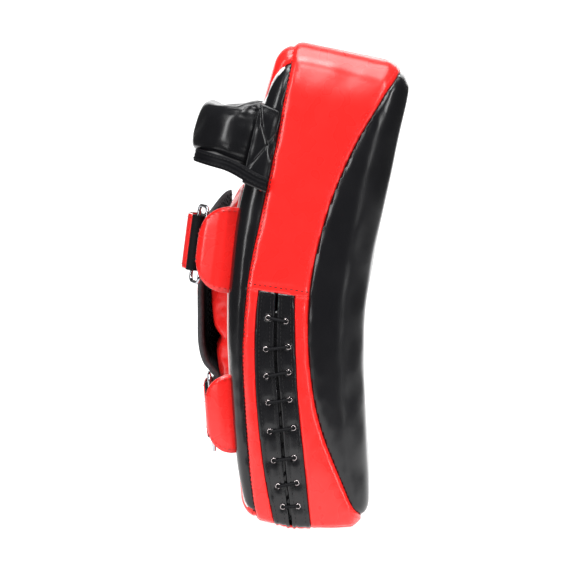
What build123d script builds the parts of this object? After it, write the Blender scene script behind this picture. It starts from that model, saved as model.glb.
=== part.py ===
"""Curved kick pad with a lace-up side, a stuffed handle and a two-strap forearm cuff.

Millimetres, +Z up, striking face towards -Y, laced side towards -X.
Each node is written as its own STEP file in parts/.
"""
import math
import os

from build123d import *

# Body envelope, side outline as (Y, Z) corners with a rounding radius for each
HALF_WIDTH = 100.0
BODY_CORNERS = [(-61.5, 0), (-53.4, 167.8), (-96.4, 378), (13.1, 402), (62.0, 216.6), (47.7, 0)]
BODY_RADII = [22, 558, 24, 24, 537, 30]
RIM_RADIUS = 18.0
COVER = 2.0
GAP = 0.15

# Seams on the sides of the pad, (Y, Z)
FRONT_SEAM = [(-93, 386), (-57.9, 334.8), (-27.3, 270.6), (-8.4, 190), (-12.4, 110.9), (-39.9, 30.3), (-62, -6)]
BACK_SEAM = [(-2, 410), (13.6, 337.7), (29.7, 256.7), (44.5, 170), (45, 111.7), (38, 20), (34, -10)]
CROSS_SEAM = [(-140, 171.2), (140, 213.2)]
BOTTOM_SEAM_Z = 5.0
LACING_REAR = [(31, 215), (34.9, 167.7), (34.3, 111.9), (28.2, 51.9), (17.5, -4)]
LACING_FRONT = [(2.0, 215), (2.3, 167.7), (0.2, 111.9), (-5.7, 51.9), (-11.2, -4)]
LACING_SPLIT = [(17.0, 215), (18.5, 155), (15.3, 107.7), (11.1, 51.9), (4.5, -4)]
LACING_SLOT = 2.4
# Edge of the black side strips on the back, (X, Z) for the far side
LENS_EDGE = [(97, 392), (71, 325), (66, 200), (70, 70), (96, 6)]
PIPING_WIDTH = 1.8
PIPING_RISE = 1.0

# Foam layers, measured back from the striking face
FOAM_CLEARANCE = 0.3
LAYER_DEPTHS = [38.0, 78.0]

# Lacing
EYELETS_REAR = [(24.3, 174.7), (26.0, 149.0), (25.7, 127.0), (24.1, 105.3), (23.0, 81.8), (19.8, 57.9),
                (16.3, 36.9), (12.4, 20.0)]
EYELETS_FRONT = [(9.9, 171.7), (7.8, 150.9), (7.6, 130.3), (6.9, 107.9), (3.7, 84.7), (3.1, 60.2),
                 (1.0, 39.6), (0.0, 20.4)]
EYELET_HOLE = 1.65
EYELET_BARREL = 2.1
EYELET_FLANGE = 2.9
EYELET_BACK = 2.6
LACE_RADIUS = 1.0
LACE_BEND = 2.6
LACE_OUTSIDE_X = -101.9
LACE_INSIDE_X = -96.3
POCKET_FLOOR_X = -92.7
TONGUE_FACE_X = -94.4
TONGUE_BACK_X = -93.0

# Handle, in its own frame: x across, n out of the back, w up along the back
HANDLE_ORIGIN = (37.0, 311.8)
HANDLE_LEAN = 14.8
GRIP_DEPTH = 21.0
GRIP_HEIGHT = 40.0
GRIP_W = 6.5
GRIP_ROUNDING = 9.0
GRIP_CENTRE_N = 41.0
GRIP_CENTRE_X = 89.3
GRIP_BEND = 32.0
GRIP_END_N = 3.0
HANDLE_LEATHER = 1.6
BINDING_N = 42.6
BINDING_X = 90.5
BINDING_BEND = 33.0
BINDING_HEIGHT = 9.2
BINDING_THICK = 2.4
BINDING_W = -18.4
FLAP_INNER_X = 100.4
FLAP_THICK = 2.2
FLAP_OUTLINE = [(-17.5, -31), (7, -22), (8, 24), (2, 38), (-14, 34)]

# Forearm cushion and cuff
CUSHION_HALF = 48.0
CUSHION_TOP = [(50, 76), (59, 90), (61, 112), (64.5, 138), (68.5, 172), (68.5, 202), (63.5, 235), (44, 281)]
CUFF_TOP = [(20, 40), (64.3, 40), (68.1, 117.5), (79.5, 131), (83.2, 147), (83, 199), (75.5, 257), (70.3, 300),
            (20, 300)]
CUFF_TOP_RADII = [2, 2, 12, 20, 60, 60, 60, 2, 2]
CUFF_SIDE = [(30, 60), (95, 60), (95, 230), (80, 246), (68, 267), (55, 274), (30, 274)]
CUFF_NEAR_X = -34.0
CUFF_FAR_X = 62.0
CUFF_BEND = 13.0
CUFF_LEATHER = 1.5
CUFF_MESH = 3.0

# Strap sets. Each has its own frame on the back: x across, n out of the back, t up along it
STRAP_SETS = {
    "upper": {"origin": (55.1, 228.0), "lean": 7.5, "tab_height": 70.0, "tab_bend": 24.0,
              "level": 25.2, "loop": 3.4, "near_bar_n": 22.9},
    "lower": {"origin": (53.9, 93.2), "lean": -3.8, "tab_height": 64.6, "tab_bend": 20.0,
              "level": 14.0, "loop": 2.6, "near_bar_n": 17.2},
}
STRAP_WIDTH = 46.0
STRAP_THICK = 1.6
STRAP_END_X = 8.0
STRAP_STUB = 1.0
PATCH_START_X = -24.0
PATCH_END_X = 5.0
PATCH_THICK = 1.2
BODY_GAP = 0.3
PEEL_GAP = 1.2
TAIL_END_X = 14.0
TONGUE_THICK = 1.4
TONGUE_SETBACK = 3.5
TONGUE_END_X = 18.0
RING_WIRE = 1.5
RING_LENGTH = 63.5
RING_WIDTH = 18.0
RING_CORNER = 5.0
NEAR_BAR_X = -64.0
FOLD_OFFSET = 0.3
TAB_THICK = 3.0
TAB_ROOT_X = -76.0
TAB_CLEAR = 0.35


def side_face(line, grow=0.0):
    """Face in the side view (local x = Y, local y = Z), grown or shrunk evenly."""
    face = make_face(line)
    if grow != 0:
        face = offset(face, amount=grow).face()
    return Plane.YZ * face


def across(face, start, end):
    """Extrude a side-view face along X between two positions."""
    return Pos(start, 0, 0) * extrude(face, amount=end - start, dir=(1, 0, 0))


def envelope(grow):
    """The pad's outer form, grown or shrunk evenly by `grow`."""
    outline = FilletPolyline(*BODY_CORNERS, radius=BODY_RADII, close=True)
    face = side_face(outline, grow)
    half = HALF_WIDTH + grow
    block = across(face, -half, half)
    ends = block.faces().sort_by(Axis.X)
    rim = ends[0].edges() + ends[-1].edges()
    return fillet(rim, radius=RIM_RADIUS + grow)


def behind_seam(seam, far_y, shift, start=-200.0, end=200.0):
    """Everything between a seam curve, moved by `shift` in Y, and the plane Y = far_y."""
    moved = [(y + shift, z) for y, z in seam]
    curve = Spline(*moved)
    rest = Polyline(moved[-1], (far_y, moved[-1][1]), (far_y, moved[0][1]), moved[0])
    return across(side_face(curve + rest), start, end)


def between_heights(low_line, high_line, start=-200.0, end=200.0):
    """Everything between two slanting lines given by their ends."""
    outline = Polyline(low_line[0], low_line[1], high_line[1], high_line[0], close=True)
    return across(side_face(outline), start, end)


def raised(line, rise):
    return [(y, z + rise) for y, z in line]


def strip_region(shift):
    """Prism along Y outside the black strip's edge on the far half of the back, moved by `shift`."""
    moved = [(x + shift, z) for x, z in LENS_EDGE]
    limit = 140.0
    curve = Spline(*moved)
    rest = Polyline(moved[-1], (limit, moved[-1][1]), (limit, moved[0][1]), moved[0])
    face = make_face(Plane.XZ * (curve + rest))
    return Pos(0, -200, 0) * extrude(face, amount=400, dir=(0, 1, 0))


def mirrored(shape):
    """The same shape on the near half."""
    return mirror(shape, about=Plane.YZ)


def rounded_route(points, radius):
    """Polyline whose corners are replaced by tangent arcs."""
    vectors = [Vector(*p) for p in points]
    edges = []
    start = vectors[0]
    for before, corner, after in zip(vectors, vectors[1:], vectors[2:]):
        to_before = (before - corner).normalized()
        to_after = (after - corner).normalized()
        half_angle = math.radians(to_before.get_angle(to_after)) / 2
        leg = radius / math.tan(half_angle)
        arc_start = corner + to_before * leg
        arc_end = corner + to_after * leg
        bisector = (to_before + to_after).normalized()
        middle = corner + bisector * (radius / math.sin(half_angle) - radius)
        edges.append(Edge.make_line(start, arc_start))
        edges.append(Edge.make_three_point_arc(arc_start, middle, arc_end))
        start = arc_end
    edges.append(Edge.make_line(start, vectors[-1]))
    return Wire(edges)


def local_frame(origin, lean):
    """Frame on the back: local X stays across, local Y points out, local Z runs up the back."""
    return Pos(0, origin[0], origin[1]) * Rot(lean, 0, 0)


def plan_band(route, thickness, half_height):
    """Upright band following a route given in plan (x, n), centred on t = 0."""
    face = trace(route, line_width=thickness)
    return Pos(0, 0, -half_height) * extrude(face, amount=2 * half_height, dir=(0, 0, 1))


def plan_slab(start_x, end_x, low_n, high_n, half_height):
    """Flat rectangular layer in a strap set's frame."""
    middle = Pos((start_x + end_x) / 2, (low_n + high_n) / 2, 0)
    return middle * Box(end_x - start_x, high_n - low_n, 2 * half_height)


def make_covers():
    shell = envelope(0) - envelope(-COVER)
    half = GAP / 2
    front = shell & behind_seam(FRONT_SEAM, -160, -half)
    back = shell & behind_seam(BACK_SEAM, 160, half)
    gusset = shell - behind_seam(FRONT_SEAM, -160, half) - behind_seam(BACK_SEAM, 160, -half)
    floor = [(-140, BOTTOM_SEAM_Z), (140, BOTTOM_SEAM_Z)]
    below_all = [(-140, -50), (140, -50)]
    above_all = [(-140, 450), (140, 450)]
    bottom = gusset & between_heights(below_all, raised(floor, -half))
    upper = gusset & between_heights(raised(CROSS_SEAM, half), above_all)
    lower_zone = between_heights(raised(floor, half), raised(CROSS_SEAM, -half))
    lower = gusset & lower_zone
    near = lower & Pos(-100, 0, 200) * Box(200, 400, 500)
    far = lower & Pos(100, 0, 200) * Box(200, 400, 500)
    rear_strip = near & behind_seam(LACING_REAR, 160, half)
    front_panel = near & behind_seam(LACING_FRONT, -160, -half)
    lacing = near - behind_seam(LACING_REAR, 160, -half) - behind_seam(LACING_FRONT, -160, half)
    facing_rear = lacing & behind_seam(LACING_SPLIT, 160, LACING_SLOT / 2)
    facing_front = lacing & behind_seam(LACING_SPLIT, -160, -LACING_SLOT / 2)
    strip_far = back & strip_region(half)
    strip_near = back & mirrored(strip_region(half))
    centre = back - strip_region(-half) - mirrored(strip_region(-half))
    rib_shell = envelope(PIPING_RISE) - envelope(GAP)
    rib_zone = strip_region(-PIPING_WIDTH / 2) - strip_region(PIPING_WIDTH / 2)
    rib = rib_shell & rib_zone & behind_seam(BACK_SEAM, 160, 1.0)
    for y, z in EYELETS_REAR:
        facing_rear -= side_hole(y, z)
    for y, z in EYELETS_FRONT:
        facing_front -= side_hole(y, z)
    return {
        "front_cover": front,
        "gusset_upper": upper,
        "gusset_lower_far": far,
        "gusset_rear_near": rear_strip,
        "gusset_front_near": front_panel,
        "bottom_cap": bottom,
        "lace_facing_rear": facing_rear,
        "lace_facing_front": facing_front,
        "back_strip_near": strip_near,
        "back_strip_far": strip_far,
        "back_center_panel": centre,
        "piping_far": rib,
        "piping_near": mirrored(rib),
    }


def side_cylinder(y, z, radius, outer_x, inner_x):
    """Cylinder along X between two X positions."""
    disc = Plane(origin=(outer_x, y, z), z_dir=(1, 0, 0)) * Circle(radius)
    return extrude(disc, amount=inner_x - outer_x, dir=(1, 0, 0))


def side_hole(y, z):
    return side_cylinder(y, z, EYELET_BARREL + 0.1, -103, -96)


def eyelet(y, z):
    """Flange outside the facing, barrel through it and a rolled rim inside, bored through."""
    skin = -HALF_WIDTH
    body = side_cylinder(y, z, EYELET_FLANGE, skin - 0.6, skin - 0.1)
    body += side_cylinder(y, z, EYELET_BARREL, skin - 0.6, skin + COVER + 0.5)
    body += side_cylinder(y, z, EYELET_BACK, skin + COVER + 0.1, skin + COVER + 0.5)
    return body - side_cylinder(y, z, EYELET_HOLE, skin - 1, skin + COVER + 1)


def make_lacing():
    """The pocket behind the lacing slot, and the nodes of the lacing."""
    inset = 3.0
    pocket = behind_seam(LACING_FRONT, 160, inset - 1, -HALF_WIDTH + COVER - 1, POCKET_FLOOR_X)
    pocket = pocket - behind_seam(LACING_REAR, 160, 1 - inset)
    pocket = pocket & between_heights([(-140, 11), (140, 11)], raised(CROSS_SEAM, -2))
    plate = behind_seam(LACING_FRONT, 160, inset, TONGUE_FACE_X, TONGUE_BACK_X)
    plate = plate - behind_seam(LACING_REAR, 160, -inset)
    plate = plate & between_heights([(-140, 12), (140, 12)], raised(CROSS_SEAM, -3))

    route = [(LACE_INSIDE_X, EYELETS_REAR[0][0] + 4, EYELETS_REAR[0][1] + 6)]
    for rear, front in zip(EYELETS_REAR, EYELETS_FRONT):
        route.append((LACE_INSIDE_X, *rear))
        route.append((LACE_OUTSIDE_X, *rear))
        route.append((LACE_OUTSIDE_X, *front))
        route.append((LACE_INSIDE_X, *front))
    route.append((LACE_INSIDE_X, EYELETS_FRONT[-1][0] - 2, EYELETS_FRONT[-1][1] + 7))
    wire = rounded_route(route, LACE_BEND)
    start = Plane(origin=wire @ 0, z_dir=wire % 0)
    lace = sweep(start * Circle(LACE_RADIUS), path=wire)
    return pocket, {
        "lace_tongue": plate,
        "eyelets_rear": Compound([eyelet(y, z).solid() for y, z in EYELETS_REAR]),
        "eyelets_front": Compound([eyelet(y, z).solid() for y, z in EYELETS_FRONT]),
        "lace": lace,
    }


def make_foam(pocket):
    block = envelope(-COVER - FOAM_CLEARANCE) - pocket
    face_line = [(-64.9, -60), (-53.4, 167.8), (-104.2, 421)]
    cuts = []
    for depth in LAYER_DEPTHS:
        cuts.append([(y + depth, z) for y, z in face_line])

    def slab(line, far_y, shift):
        moved = [(y + shift, z) for y, z in line]
        curve = FilletPolyline(*moved, radius=558)
        rest = Polyline(moved[-1], (far_y, moved[-1][1]), (far_y, moved[0][1]), moved[0])
        return across(side_face(curve + rest), -200, 200)

    half = GAP / 2
    strike = block & slab(cuts[0], -200, -half)
    firm = block & slab(cuts[1], 200, half)
    middle = block - slab(cuts[0], -200, half) - slab(cuts[1], 200, -half)
    return {"foam_strike_layer": strike, "foam_middle_layer": middle, "foam_firm_layer": firm}


def arch(centre_x, centre_n, bend, section):
    """Sweep a (depth, height) section along the handle's arch, in the handle frame."""
    corners = [(-centre_x, GRIP_END_N), (-centre_x, centre_n), (centre_x, centre_n), (centre_x, GRIP_END_N)]
    route = FilletPolyline(*corners, radius=bend)
    start = Plane(origin=(-centre_x, GRIP_END_N, 0), x_dir=(1, 0, 0), z_dir=(0, 1, 0))
    return sweep(start * section, path=route)


def make_handle():
    frame = local_frame(HANDLE_ORIGIN, HANDLE_LEAN)
    outer = arch(GRIP_CENTRE_X, GRIP_CENTRE_N, GRIP_BEND, RectangleRounded(GRIP_DEPTH, GRIP_HEIGHT, GRIP_ROUNDING))
    thin = 2 * HANDLE_LEATHER
    hollow = arch(GRIP_CENTRE_X, GRIP_CENTRE_N, GRIP_BEND,
                  RectangleRounded(GRIP_DEPTH - thin, GRIP_HEIGHT - thin, GRIP_ROUNDING - HANDLE_LEATHER))
    thin += 2 * GAP
    core = arch(GRIP_CENTRE_X, GRIP_CENTRE_N, GRIP_BEND,
                RectangleRounded(GRIP_DEPTH - thin, GRIP_HEIGHT - thin, GRIP_ROUNDING - thin / 2))
    binding = arch(BINDING_X, BINDING_N, BINDING_BEND, Rectangle(BINDING_THICK, BINDING_HEIGHT))
    outline = FilletPolyline(*FLAP_OUTLINE, radius=2, close=True)
    flap = across(side_face(outline), FLAP_INNER_X, FLAP_INNER_X + FLAP_THICK)
    lift = Pos(0, 0, GRIP_W)
    return {
        "handle_cover": frame * lift * (outer - hollow),
        "handle_core": frame * lift * core,
        "handle_binding": frame * Pos(0, 0, BINDING_W) * binding,
        "handle_flap_far": frame * flap,
        "handle_flap_near": frame * mirrored(flap),
    }


def cuff_layer(inset):
    """Solid under the cuff's surface, set in by `inset` from the outside."""
    outline = FilletPolyline(*CUFF_TOP, radius=CUFF_TOP_RADII, close=True)
    block = across(side_face(outline, -inset), CUFF_NEAR_X - 5, CUFF_FAR_X - inset)
    wall = block.faces().sort_by(Axis.X)[-1]
    crown_edges = [edge for edge in wall.edges() if edge.center().Y > 60]
    return fillet(crown_edges, radius=CUFF_BEND - inset)


def make_forearm_parts():
    pad = envelope(GAP)
    curve = Spline(*CUSHION_TOP)
    closing = Polyline(CUSHION_TOP[-1], (30, 281), (30, 76), CUSHION_TOP[0])
    cushion = across(side_face(curve + closing), -CUSHION_HALF, CUSHION_HALF) - pad
    side = across(side_face(FilletPolyline(*CUFF_SIDE, radius=4, close=True)), CUFF_NEAR_X, CUFF_FAR_X)
    leather = (cuff_layer(0) - cuff_layer(CUFF_LEATHER)) & side
    mesh_inset = CUFF_LEATHER + GAP
    mesh = (cuff_layer(mesh_inset) - cuff_layer(mesh_inset + CUFF_MESH)) & side
    return {
        "forearm_cushion": cushion,
        "cuff_outer": leather - pad,
        "cuff_mesh_lining": mesh - pad,
    }


def ring_shape(near_x, near_n, tilt):
    """Rounded rectangular wire ring; its near bar runs along t at (near_x, near_n)."""
    path = RectangleRounded(RING_WIDTH, RING_LENGTH, RING_CORNER).face().outer_wire()
    path = Pos(RING_WIDTH / 2, 0, 0) * path
    start = Plane(origin=path @ 0, z_dir=path % 0)
    flat = sweep(start * Circle(RING_WIRE), path=path)
    return Pos(near_x, near_n, 0) * Rot(0, 0, tilt) * Rot(90, 0, 0) * flat


def tab_shape(near_n, height, bend):
    """Leather tab: a C-curved flap that closes around the ring's near bar."""
    hole = RING_WIRE + TAB_CLEAR
    outer = hole + TAB_THICK
    top_n = near_n + outer
    route = FilletPolyline((TAB_ROOT_X, -4), (TAB_ROOT_X - 2.5, top_n * 0.4), (TAB_ROOT_X + 3, top_n - 2.6),
                           (NEAR_BAR_X, top_n - TAB_THICK / 2), radius=6)
    flap = plan_band(route, TAB_THICK, height / 2)
    loop = Pos(NEAR_BAR_X, near_n, 0) * Cylinder(outer, height)
    channel = Pos(NEAR_BAR_X, near_n, 0) * Cylinder(hole, height + 2)
    corners = [(-6, -height / 2), (top_n, -height / 2), (top_n, height / 2), (-6, height / 2)]
    outline = side_face(FilletPolyline(*corners, radius=[1, bend, bend, 1], close=True))
    return (flap + loop - channel) & across(outline, -110, 0)


def make_strap_set(name, data, pad):
    level = data["level"]
    loop = data["loop"]
    near_n = data["near_bar_n"]
    half = STRAP_WIDTH / 2
    fold_n = level + STRAP_THICK + loop
    bar_rise = fold_n - near_n
    far_x = NEAR_BAR_X + math.sqrt(RING_WIDTH ** 2 - bar_rise ** 2)
    tilt = math.degrees(math.asin(bar_rise / RING_WIDTH))
    fold_x = far_x + FOLD_OFFSET

    low = level + STRAP_THICK / 2
    high = fold_n + loop + STRAP_THICK / 2
    bend = (high - low) / 2
    stub_x = fold_x + STRAP_STUB
    route = Line((STRAP_END_X, low), (fold_x, low))
    route += ThreePointArc((fold_x, low), (fold_x - bend, fold_n), (fold_x, high))
    route += Line((fold_x, high), (stub_x, high))
    strap = plan_band(route, STRAP_THICK, half)

    loop_low = level + STRAP_THICK + GAP
    hook_low = loop_low + PATCH_THICK + BODY_GAP
    tail_n = hook_low + PATCH_THICK + GAP + STRAP_THICK / 2
    loop_patch = plan_slab(PATCH_START_X, PATCH_END_X, loop_low, loop_low + PATCH_THICK, half - 1)
    hook_patch = plan_slab(PATCH_START_X, PATCH_END_X, hook_low, hook_low + PATCH_THICK, half - 1)

    root_x = stub_x + PEEL_GAP
    corner_x = PATCH_START_X - 2
    tail_route = FilletPolyline((root_x, high), (corner_x, tail_n), (TAIL_END_X, tail_n), radius=12)
    tail = plan_band(tail_route, STRAP_THICK, half)
    lift = (STRAP_THICK + TONGUE_THICK) / 2 + GAP
    slope = (high - tail_n) / (corner_x - root_x)
    tongue_root = (root_x + TONGUE_SETBACK, high + lift - slope * TONGUE_SETBACK)
    tongue_route = FilletPolyline(tongue_root, (corner_x, tail_n + lift), (TONGUE_END_X, tail_n + lift), radius=12)
    tongue = plan_band(tongue_route, TONGUE_THICK, half)
    peel_axis = (stub_x + PEEL_GAP / 2, high + STRAP_THICK / 2 + BODY_GAP)
    tip = tongue.edges().filter_by(Axis.Y).group_by(Axis.X)[-1]
    tongue = fillet(tip, radius=9)

    frame = local_frame(data["origin"], data["lean"])
    near_bar = frame * Pos(NEAR_BAR_X, near_n, 0)
    peel = frame * Pos(peel_axis[0], peel_axis[1], 0)
    print(name, "near bar", near_bar.position, "peel axis", peel.position)
    return {
        f"{name}_tab": frame * tab_shape(near_n, data["tab_height"], data["tab_bend"]) - pad,
        f"{name}_ring": frame * ring_shape(NEAR_BAR_X, near_n, tilt),
        f"{name}_strap": frame * strap,
        f"{name}_loop_patch": frame * loop_patch,
        f"{name}_hook_patch": frame * hook_patch,
        f"{name}_strap_tail": frame * tail,
        f"{name}_tongue": frame * tongue,
    }


if __name__ == "__main__":
    os.makedirs("parts", exist_ok=True)
    nodes = make_covers()
    lace_pocket, lacing_nodes = make_lacing()
    nodes.update(lacing_nodes)
    nodes.update(make_foam(lace_pocket))
    nodes.update(make_handle())
    nodes.update(make_forearm_parts())
    pad_form = envelope(GAP)
    for set_name, set_data in STRAP_SETS.items():
        nodes.update(make_strap_set(set_name, set_data, pad_form))
    for name, shape in nodes.items():
        export_step(shape, f"parts/{name}.step")
        print(name, round(shape.volume), len(shape.solids()))
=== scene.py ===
"""Looks of the curved lace-up kick pad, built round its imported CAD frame.

Working lengths are in millimetres; meshes are scaled to metres when they are made.
"""
import math

import bmesh
import bpy
import numpy as np
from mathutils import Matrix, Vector
from mathutils.bvhtree import BVHTree


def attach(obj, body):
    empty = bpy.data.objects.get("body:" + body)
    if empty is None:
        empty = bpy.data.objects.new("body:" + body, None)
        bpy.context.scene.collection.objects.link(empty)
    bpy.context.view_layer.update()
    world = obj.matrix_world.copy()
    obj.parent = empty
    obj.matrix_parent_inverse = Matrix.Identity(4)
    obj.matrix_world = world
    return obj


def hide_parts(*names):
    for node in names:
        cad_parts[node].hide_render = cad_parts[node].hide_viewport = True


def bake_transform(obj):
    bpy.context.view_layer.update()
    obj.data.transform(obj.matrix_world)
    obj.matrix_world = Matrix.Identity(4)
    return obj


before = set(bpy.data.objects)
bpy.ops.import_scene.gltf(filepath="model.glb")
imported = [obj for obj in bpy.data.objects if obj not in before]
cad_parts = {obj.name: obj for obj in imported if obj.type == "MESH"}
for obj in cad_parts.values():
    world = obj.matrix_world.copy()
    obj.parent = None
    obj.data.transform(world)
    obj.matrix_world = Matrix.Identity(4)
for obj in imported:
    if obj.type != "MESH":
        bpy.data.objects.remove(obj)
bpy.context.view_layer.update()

MM = 0.001

# ---------------------------------------------------------------- camera and light
NEAR_SIDE = -95.0
VIEW_CENTRE = Vector((NEAR_SIDE, 8.1, 198.4)) * MM
VIEW_DISTANCE = 1.89
VIEW_WIDTH = 0.4664
VIEW_ELEVATION = math.radians(5.0)


def make_camera():
    data = bpy.data.cameras.new("camera")
    data.sensor_width = 36.0
    data.lens = 36.0 * VIEW_DISTANCE / VIEW_WIDTH
    data.clip_start = 0.05
    data.clip_end = 20.0
    camera = bpy.data.objects.new("camera", data)
    away = Vector((-math.cos(VIEW_ELEVATION), 0, math.sin(VIEW_ELEVATION)))
    camera.location = VIEW_CENTRE + away * VIEW_DISTANCE
    camera.rotation_mode = "QUATERNION"
    camera.rotation_quaternion = (-away).to_track_quat("-Z", "Y")
    bpy.context.collection.objects.link(camera)
    bpy.context.scene.camera = camera


def area_light(name, location, target, width, height, power):
    data = bpy.data.lights.new(name, "AREA")
    data.shape = "RECTANGLE"
    data.size = width
    data.size_y = height
    data.energy = power
    light = bpy.data.objects.new(name, data)
    light.location = location
    aim = Vector(target) - Vector(location)
    light.rotation_mode = "QUATERNION"
    light.rotation_quaternion = aim.to_track_quat("-Z", "Y")
    bpy.context.collection.objects.link(light)


def make_studio():
    middle = (0, 0, 0.2)
    area_light("front_key", (-1.5, -1.3, 0.8), middle, 0.3, 1.4, 18)
    area_light("back_key", (-1.4, 1.4, 0.8), middle, 0.3, 1.4, 14)
    area_light("high_fill", (-1.55, 0.05, 1.3), middle, 0.7, 0.5, 11)
    area_light("upper_fill", (-0.95, 0.05, 1.8), middle, 0.8, 0.5, 14)
    area_light("top", (-0.35, 0, 1.9), middle, 1.6, 1.5, 50)
    area_light("far_fill", (1.7, -0.9, 1.2), middle, 1.0, 1.4, 18)
    world = bpy.data.worlds.new("studio")
    world.use_nodes = True
    background = world.node_tree.nodes["Background"]
    background.inputs["Color"].default_value = (1, 1, 1, 1)
    background.inputs["Strength"].default_value = 0.08
    bpy.context.scene.world = world
    bpy.context.scene.view_settings.view_transform = "Standard"


def make_floor():
    """Pale seamless floor that curves up behind the far side."""
    near_x, bend_x, bend, top_z, half_width = -0.5, 1.0, 0.9, 3.5, 0.8
    profile = [(near_x, 0.0), (bend_x, 0.0)]
    for step in range(1, 13):
        angle = math.radians(step * 7.5)
        profile.append((bend_x + bend * math.sin(angle), bend * (1 - math.cos(angle))))
    profile.append((bend_x + bend, top_z))
    vertices = [(x, y, z) for x, z in profile for y in (-half_width, half_width)]
    faces = [(2 * k, 2 * k + 2, 2 * k + 3, 2 * k + 1) for k in range(len(profile) - 1)]
    material, _, shader = node_material("pale_floor")
    shader.inputs["Base Color"].default_value = (0.3, 0.3, 0.3, 1)
    shader.inputs["Roughness"].default_value = 0.9
    shader.inputs["Emission Color"].default_value = (1, 1, 1, 1)
    shader.inputs["Emission Strength"].default_value = 1.0
    floor = new_object("floor", np.array(vertices) / MM, faces, material)


# ---------------------------------------------------------------- curves and meshes
def smooth_curve(points, count):
    """Catmull-Rom curve through the points, evenly spaced by length."""
    p = np.array(points, float)
    p = np.vstack([2 * p[0] - p[1], p, 2 * p[-1] - p[-2]])
    t = np.linspace(0, 1, 24, endpoint=False)[:, None]
    runs = []
    for a, b, c, d in zip(p, p[1:], p[2:], p[3:]):
        runs.append(0.5 * (2 * b + (c - a) * t + (2 * a - 5 * b + 4 * c - d) * t ** 2
                           + (3 * b - a - 3 * c + d) * t ** 3))
    dense = np.vstack(runs + [p[-2][None]])
    return even_points(dense, count)


def distances_along(line):
    """How far along the line each of its points lies."""
    steps = np.linalg.norm(np.diff(line, axis=0), axis=1)
    return np.concatenate([[0], np.cumsum(steps)])


def even_points(rows, count, line=None):
    """The rows at `count` equal steps of the line they make, or of another line if one is given."""
    along = distances_along(rows if line is None else line)
    want = np.linspace(0, along[-1], count)
    return np.stack([np.interp(want, along, rows[:, k]) for k in range(rows.shape[1])], 1)


def line_distance(points, curve):
    """Signed distance from 2-D points to an open curve, with the nearest points on it.

    Positive lies to the left of the curve's direction.
    """
    best = np.full(len(points), 1e9)
    side = np.zeros(len(points))
    near = np.zeros_like(points)
    for a, b in zip(curve, curve[1:]):
        run = b - a
        t = np.clip(((points - a) @ run) / (run @ run), 0, 1)
        foot = a + t[:, None] * run
        gap = points - foot
        dist = np.hypot(gap[:, 0], gap[:, 1])
        closer = dist < best
        best[closer] = dist[closer]
        near[closer] = foot[closer]
        side[closer] = (run[0] * gap[:, 1] - run[1] * gap[:, 0])[closer]
    return np.where(side >= 0, best, -best), near


def ramp(value, low, high):
    """0 below low, 1 above high, smooth between."""
    t = np.clip((value - low) / (high - low), 0, 1)
    return t * t * (3 - 2 * t)


def new_object(name, vertices, faces, material, smooth=True):
    """Mesh object from millimetre vertices."""
    mesh = bpy.data.meshes.new(name)
    mesh.from_pydata((np.asarray(vertices) * MM).tolist(), [], [list(f) for f in faces])
    mesh.validate()
    mesh.update()
    if smooth:
        mesh.polygons.foreach_set("use_smooth", [True] * len(mesh.polygons))
    mesh.materials.append(material)
    obj = bpy.data.objects.new(name, mesh)
    bpy.context.collection.objects.link(obj)
    return obj


# ---------------------------------------------------------------- materials
def node_material(name):
    material = bpy.data.materials.new(name)
    material.use_nodes = True
    tree = material.node_tree
    return material, tree, tree.nodes["Principled BSDF"]


def add_noise(tree, scale, detail, coords):
    texture = tree.nodes.new("ShaderNodeTexNoise")
    texture.inputs["Scale"].default_value = scale
    texture.inputs["Detail"].default_value = detail
    tree.links.new(coords, texture.inputs["Vector"])
    return texture.outputs["Fac"]


def map_range(tree, value, low, high):
    node = tree.nodes.new("ShaderNodeMapRange")
    node.inputs["To Min"].default_value = low
    node.inputs["To Max"].default_value = high
    node.inputs["From Min"].default_value = 0.3
    node.inputs["From Max"].default_value = 0.7
    tree.links.new(value, node.inputs["Value"])
    return node.outputs["Result"]


def add_mottle(tree, factor, dark, light, shader):
    """Base colour that wanders between two colours."""
    mix = tree.nodes.new("ShaderNodeMix")
    mix.data_type = "RGBA"
    mix.inputs["A"].default_value = (*dark, 1)
    mix.inputs["B"].default_value = (*light, 1)
    tree.links.new(factor, mix.inputs["Factor"])
    tree.links.new(mix.outputs["Result"], shader.inputs["Base Color"])


def add_bump(tree, strength, distance, height):
    bump = tree.nodes.new("ShaderNodeBump")
    bump.inputs["Strength"].default_value = strength
    bump.inputs["Distance"].default_value = distance
    tree.links.new(height, bump.inputs["Height"])
    return bump


def leather(name, dark, light, roughness, coat, grain=0.06):
    """Glossy coated leather: faint fine and soft grain, with slight colour and gloss variation."""
    material, tree, shader = node_material(name)
    coords = tree.nodes.new("ShaderNodeTexCoord").outputs["Object"]
    add_mottle(tree, add_noise(tree, 30, 1, coords), dark, light, shader)
    gloss = add_noise(tree, 70, 1, coords)
    tree.links.new(map_range(tree, gloss, roughness * 0.9, roughness * 1.1), shader.inputs["Roughness"])
    fine = add_bump(tree, grain, 0.0003, add_noise(tree, 600, 1, coords))
    soft = add_bump(tree, grain, 0.0012, add_noise(tree, 110, 2, coords))
    tree.links.new(fine.outputs["Normal"], soft.inputs["Normal"])
    tree.links.new(soft.outputs["Normal"], shader.inputs["Normal"])
    shader.inputs["Coat Weight"].default_value = coat
    shader.inputs["Coat Roughness"].default_value = 0.22
    shader.inputs["Specular IOR Level"].default_value = 0.35
    return material


RED = leather("red_leather", (0.84, 0.014, 0.012), (0.88, 0.018, 0.015), 0.28, 0.3)
BLACK = leather("black_leather", (0.004, 0.004, 0.005), (0.007, 0.007, 0.008), 0.22, 0.2)


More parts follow.
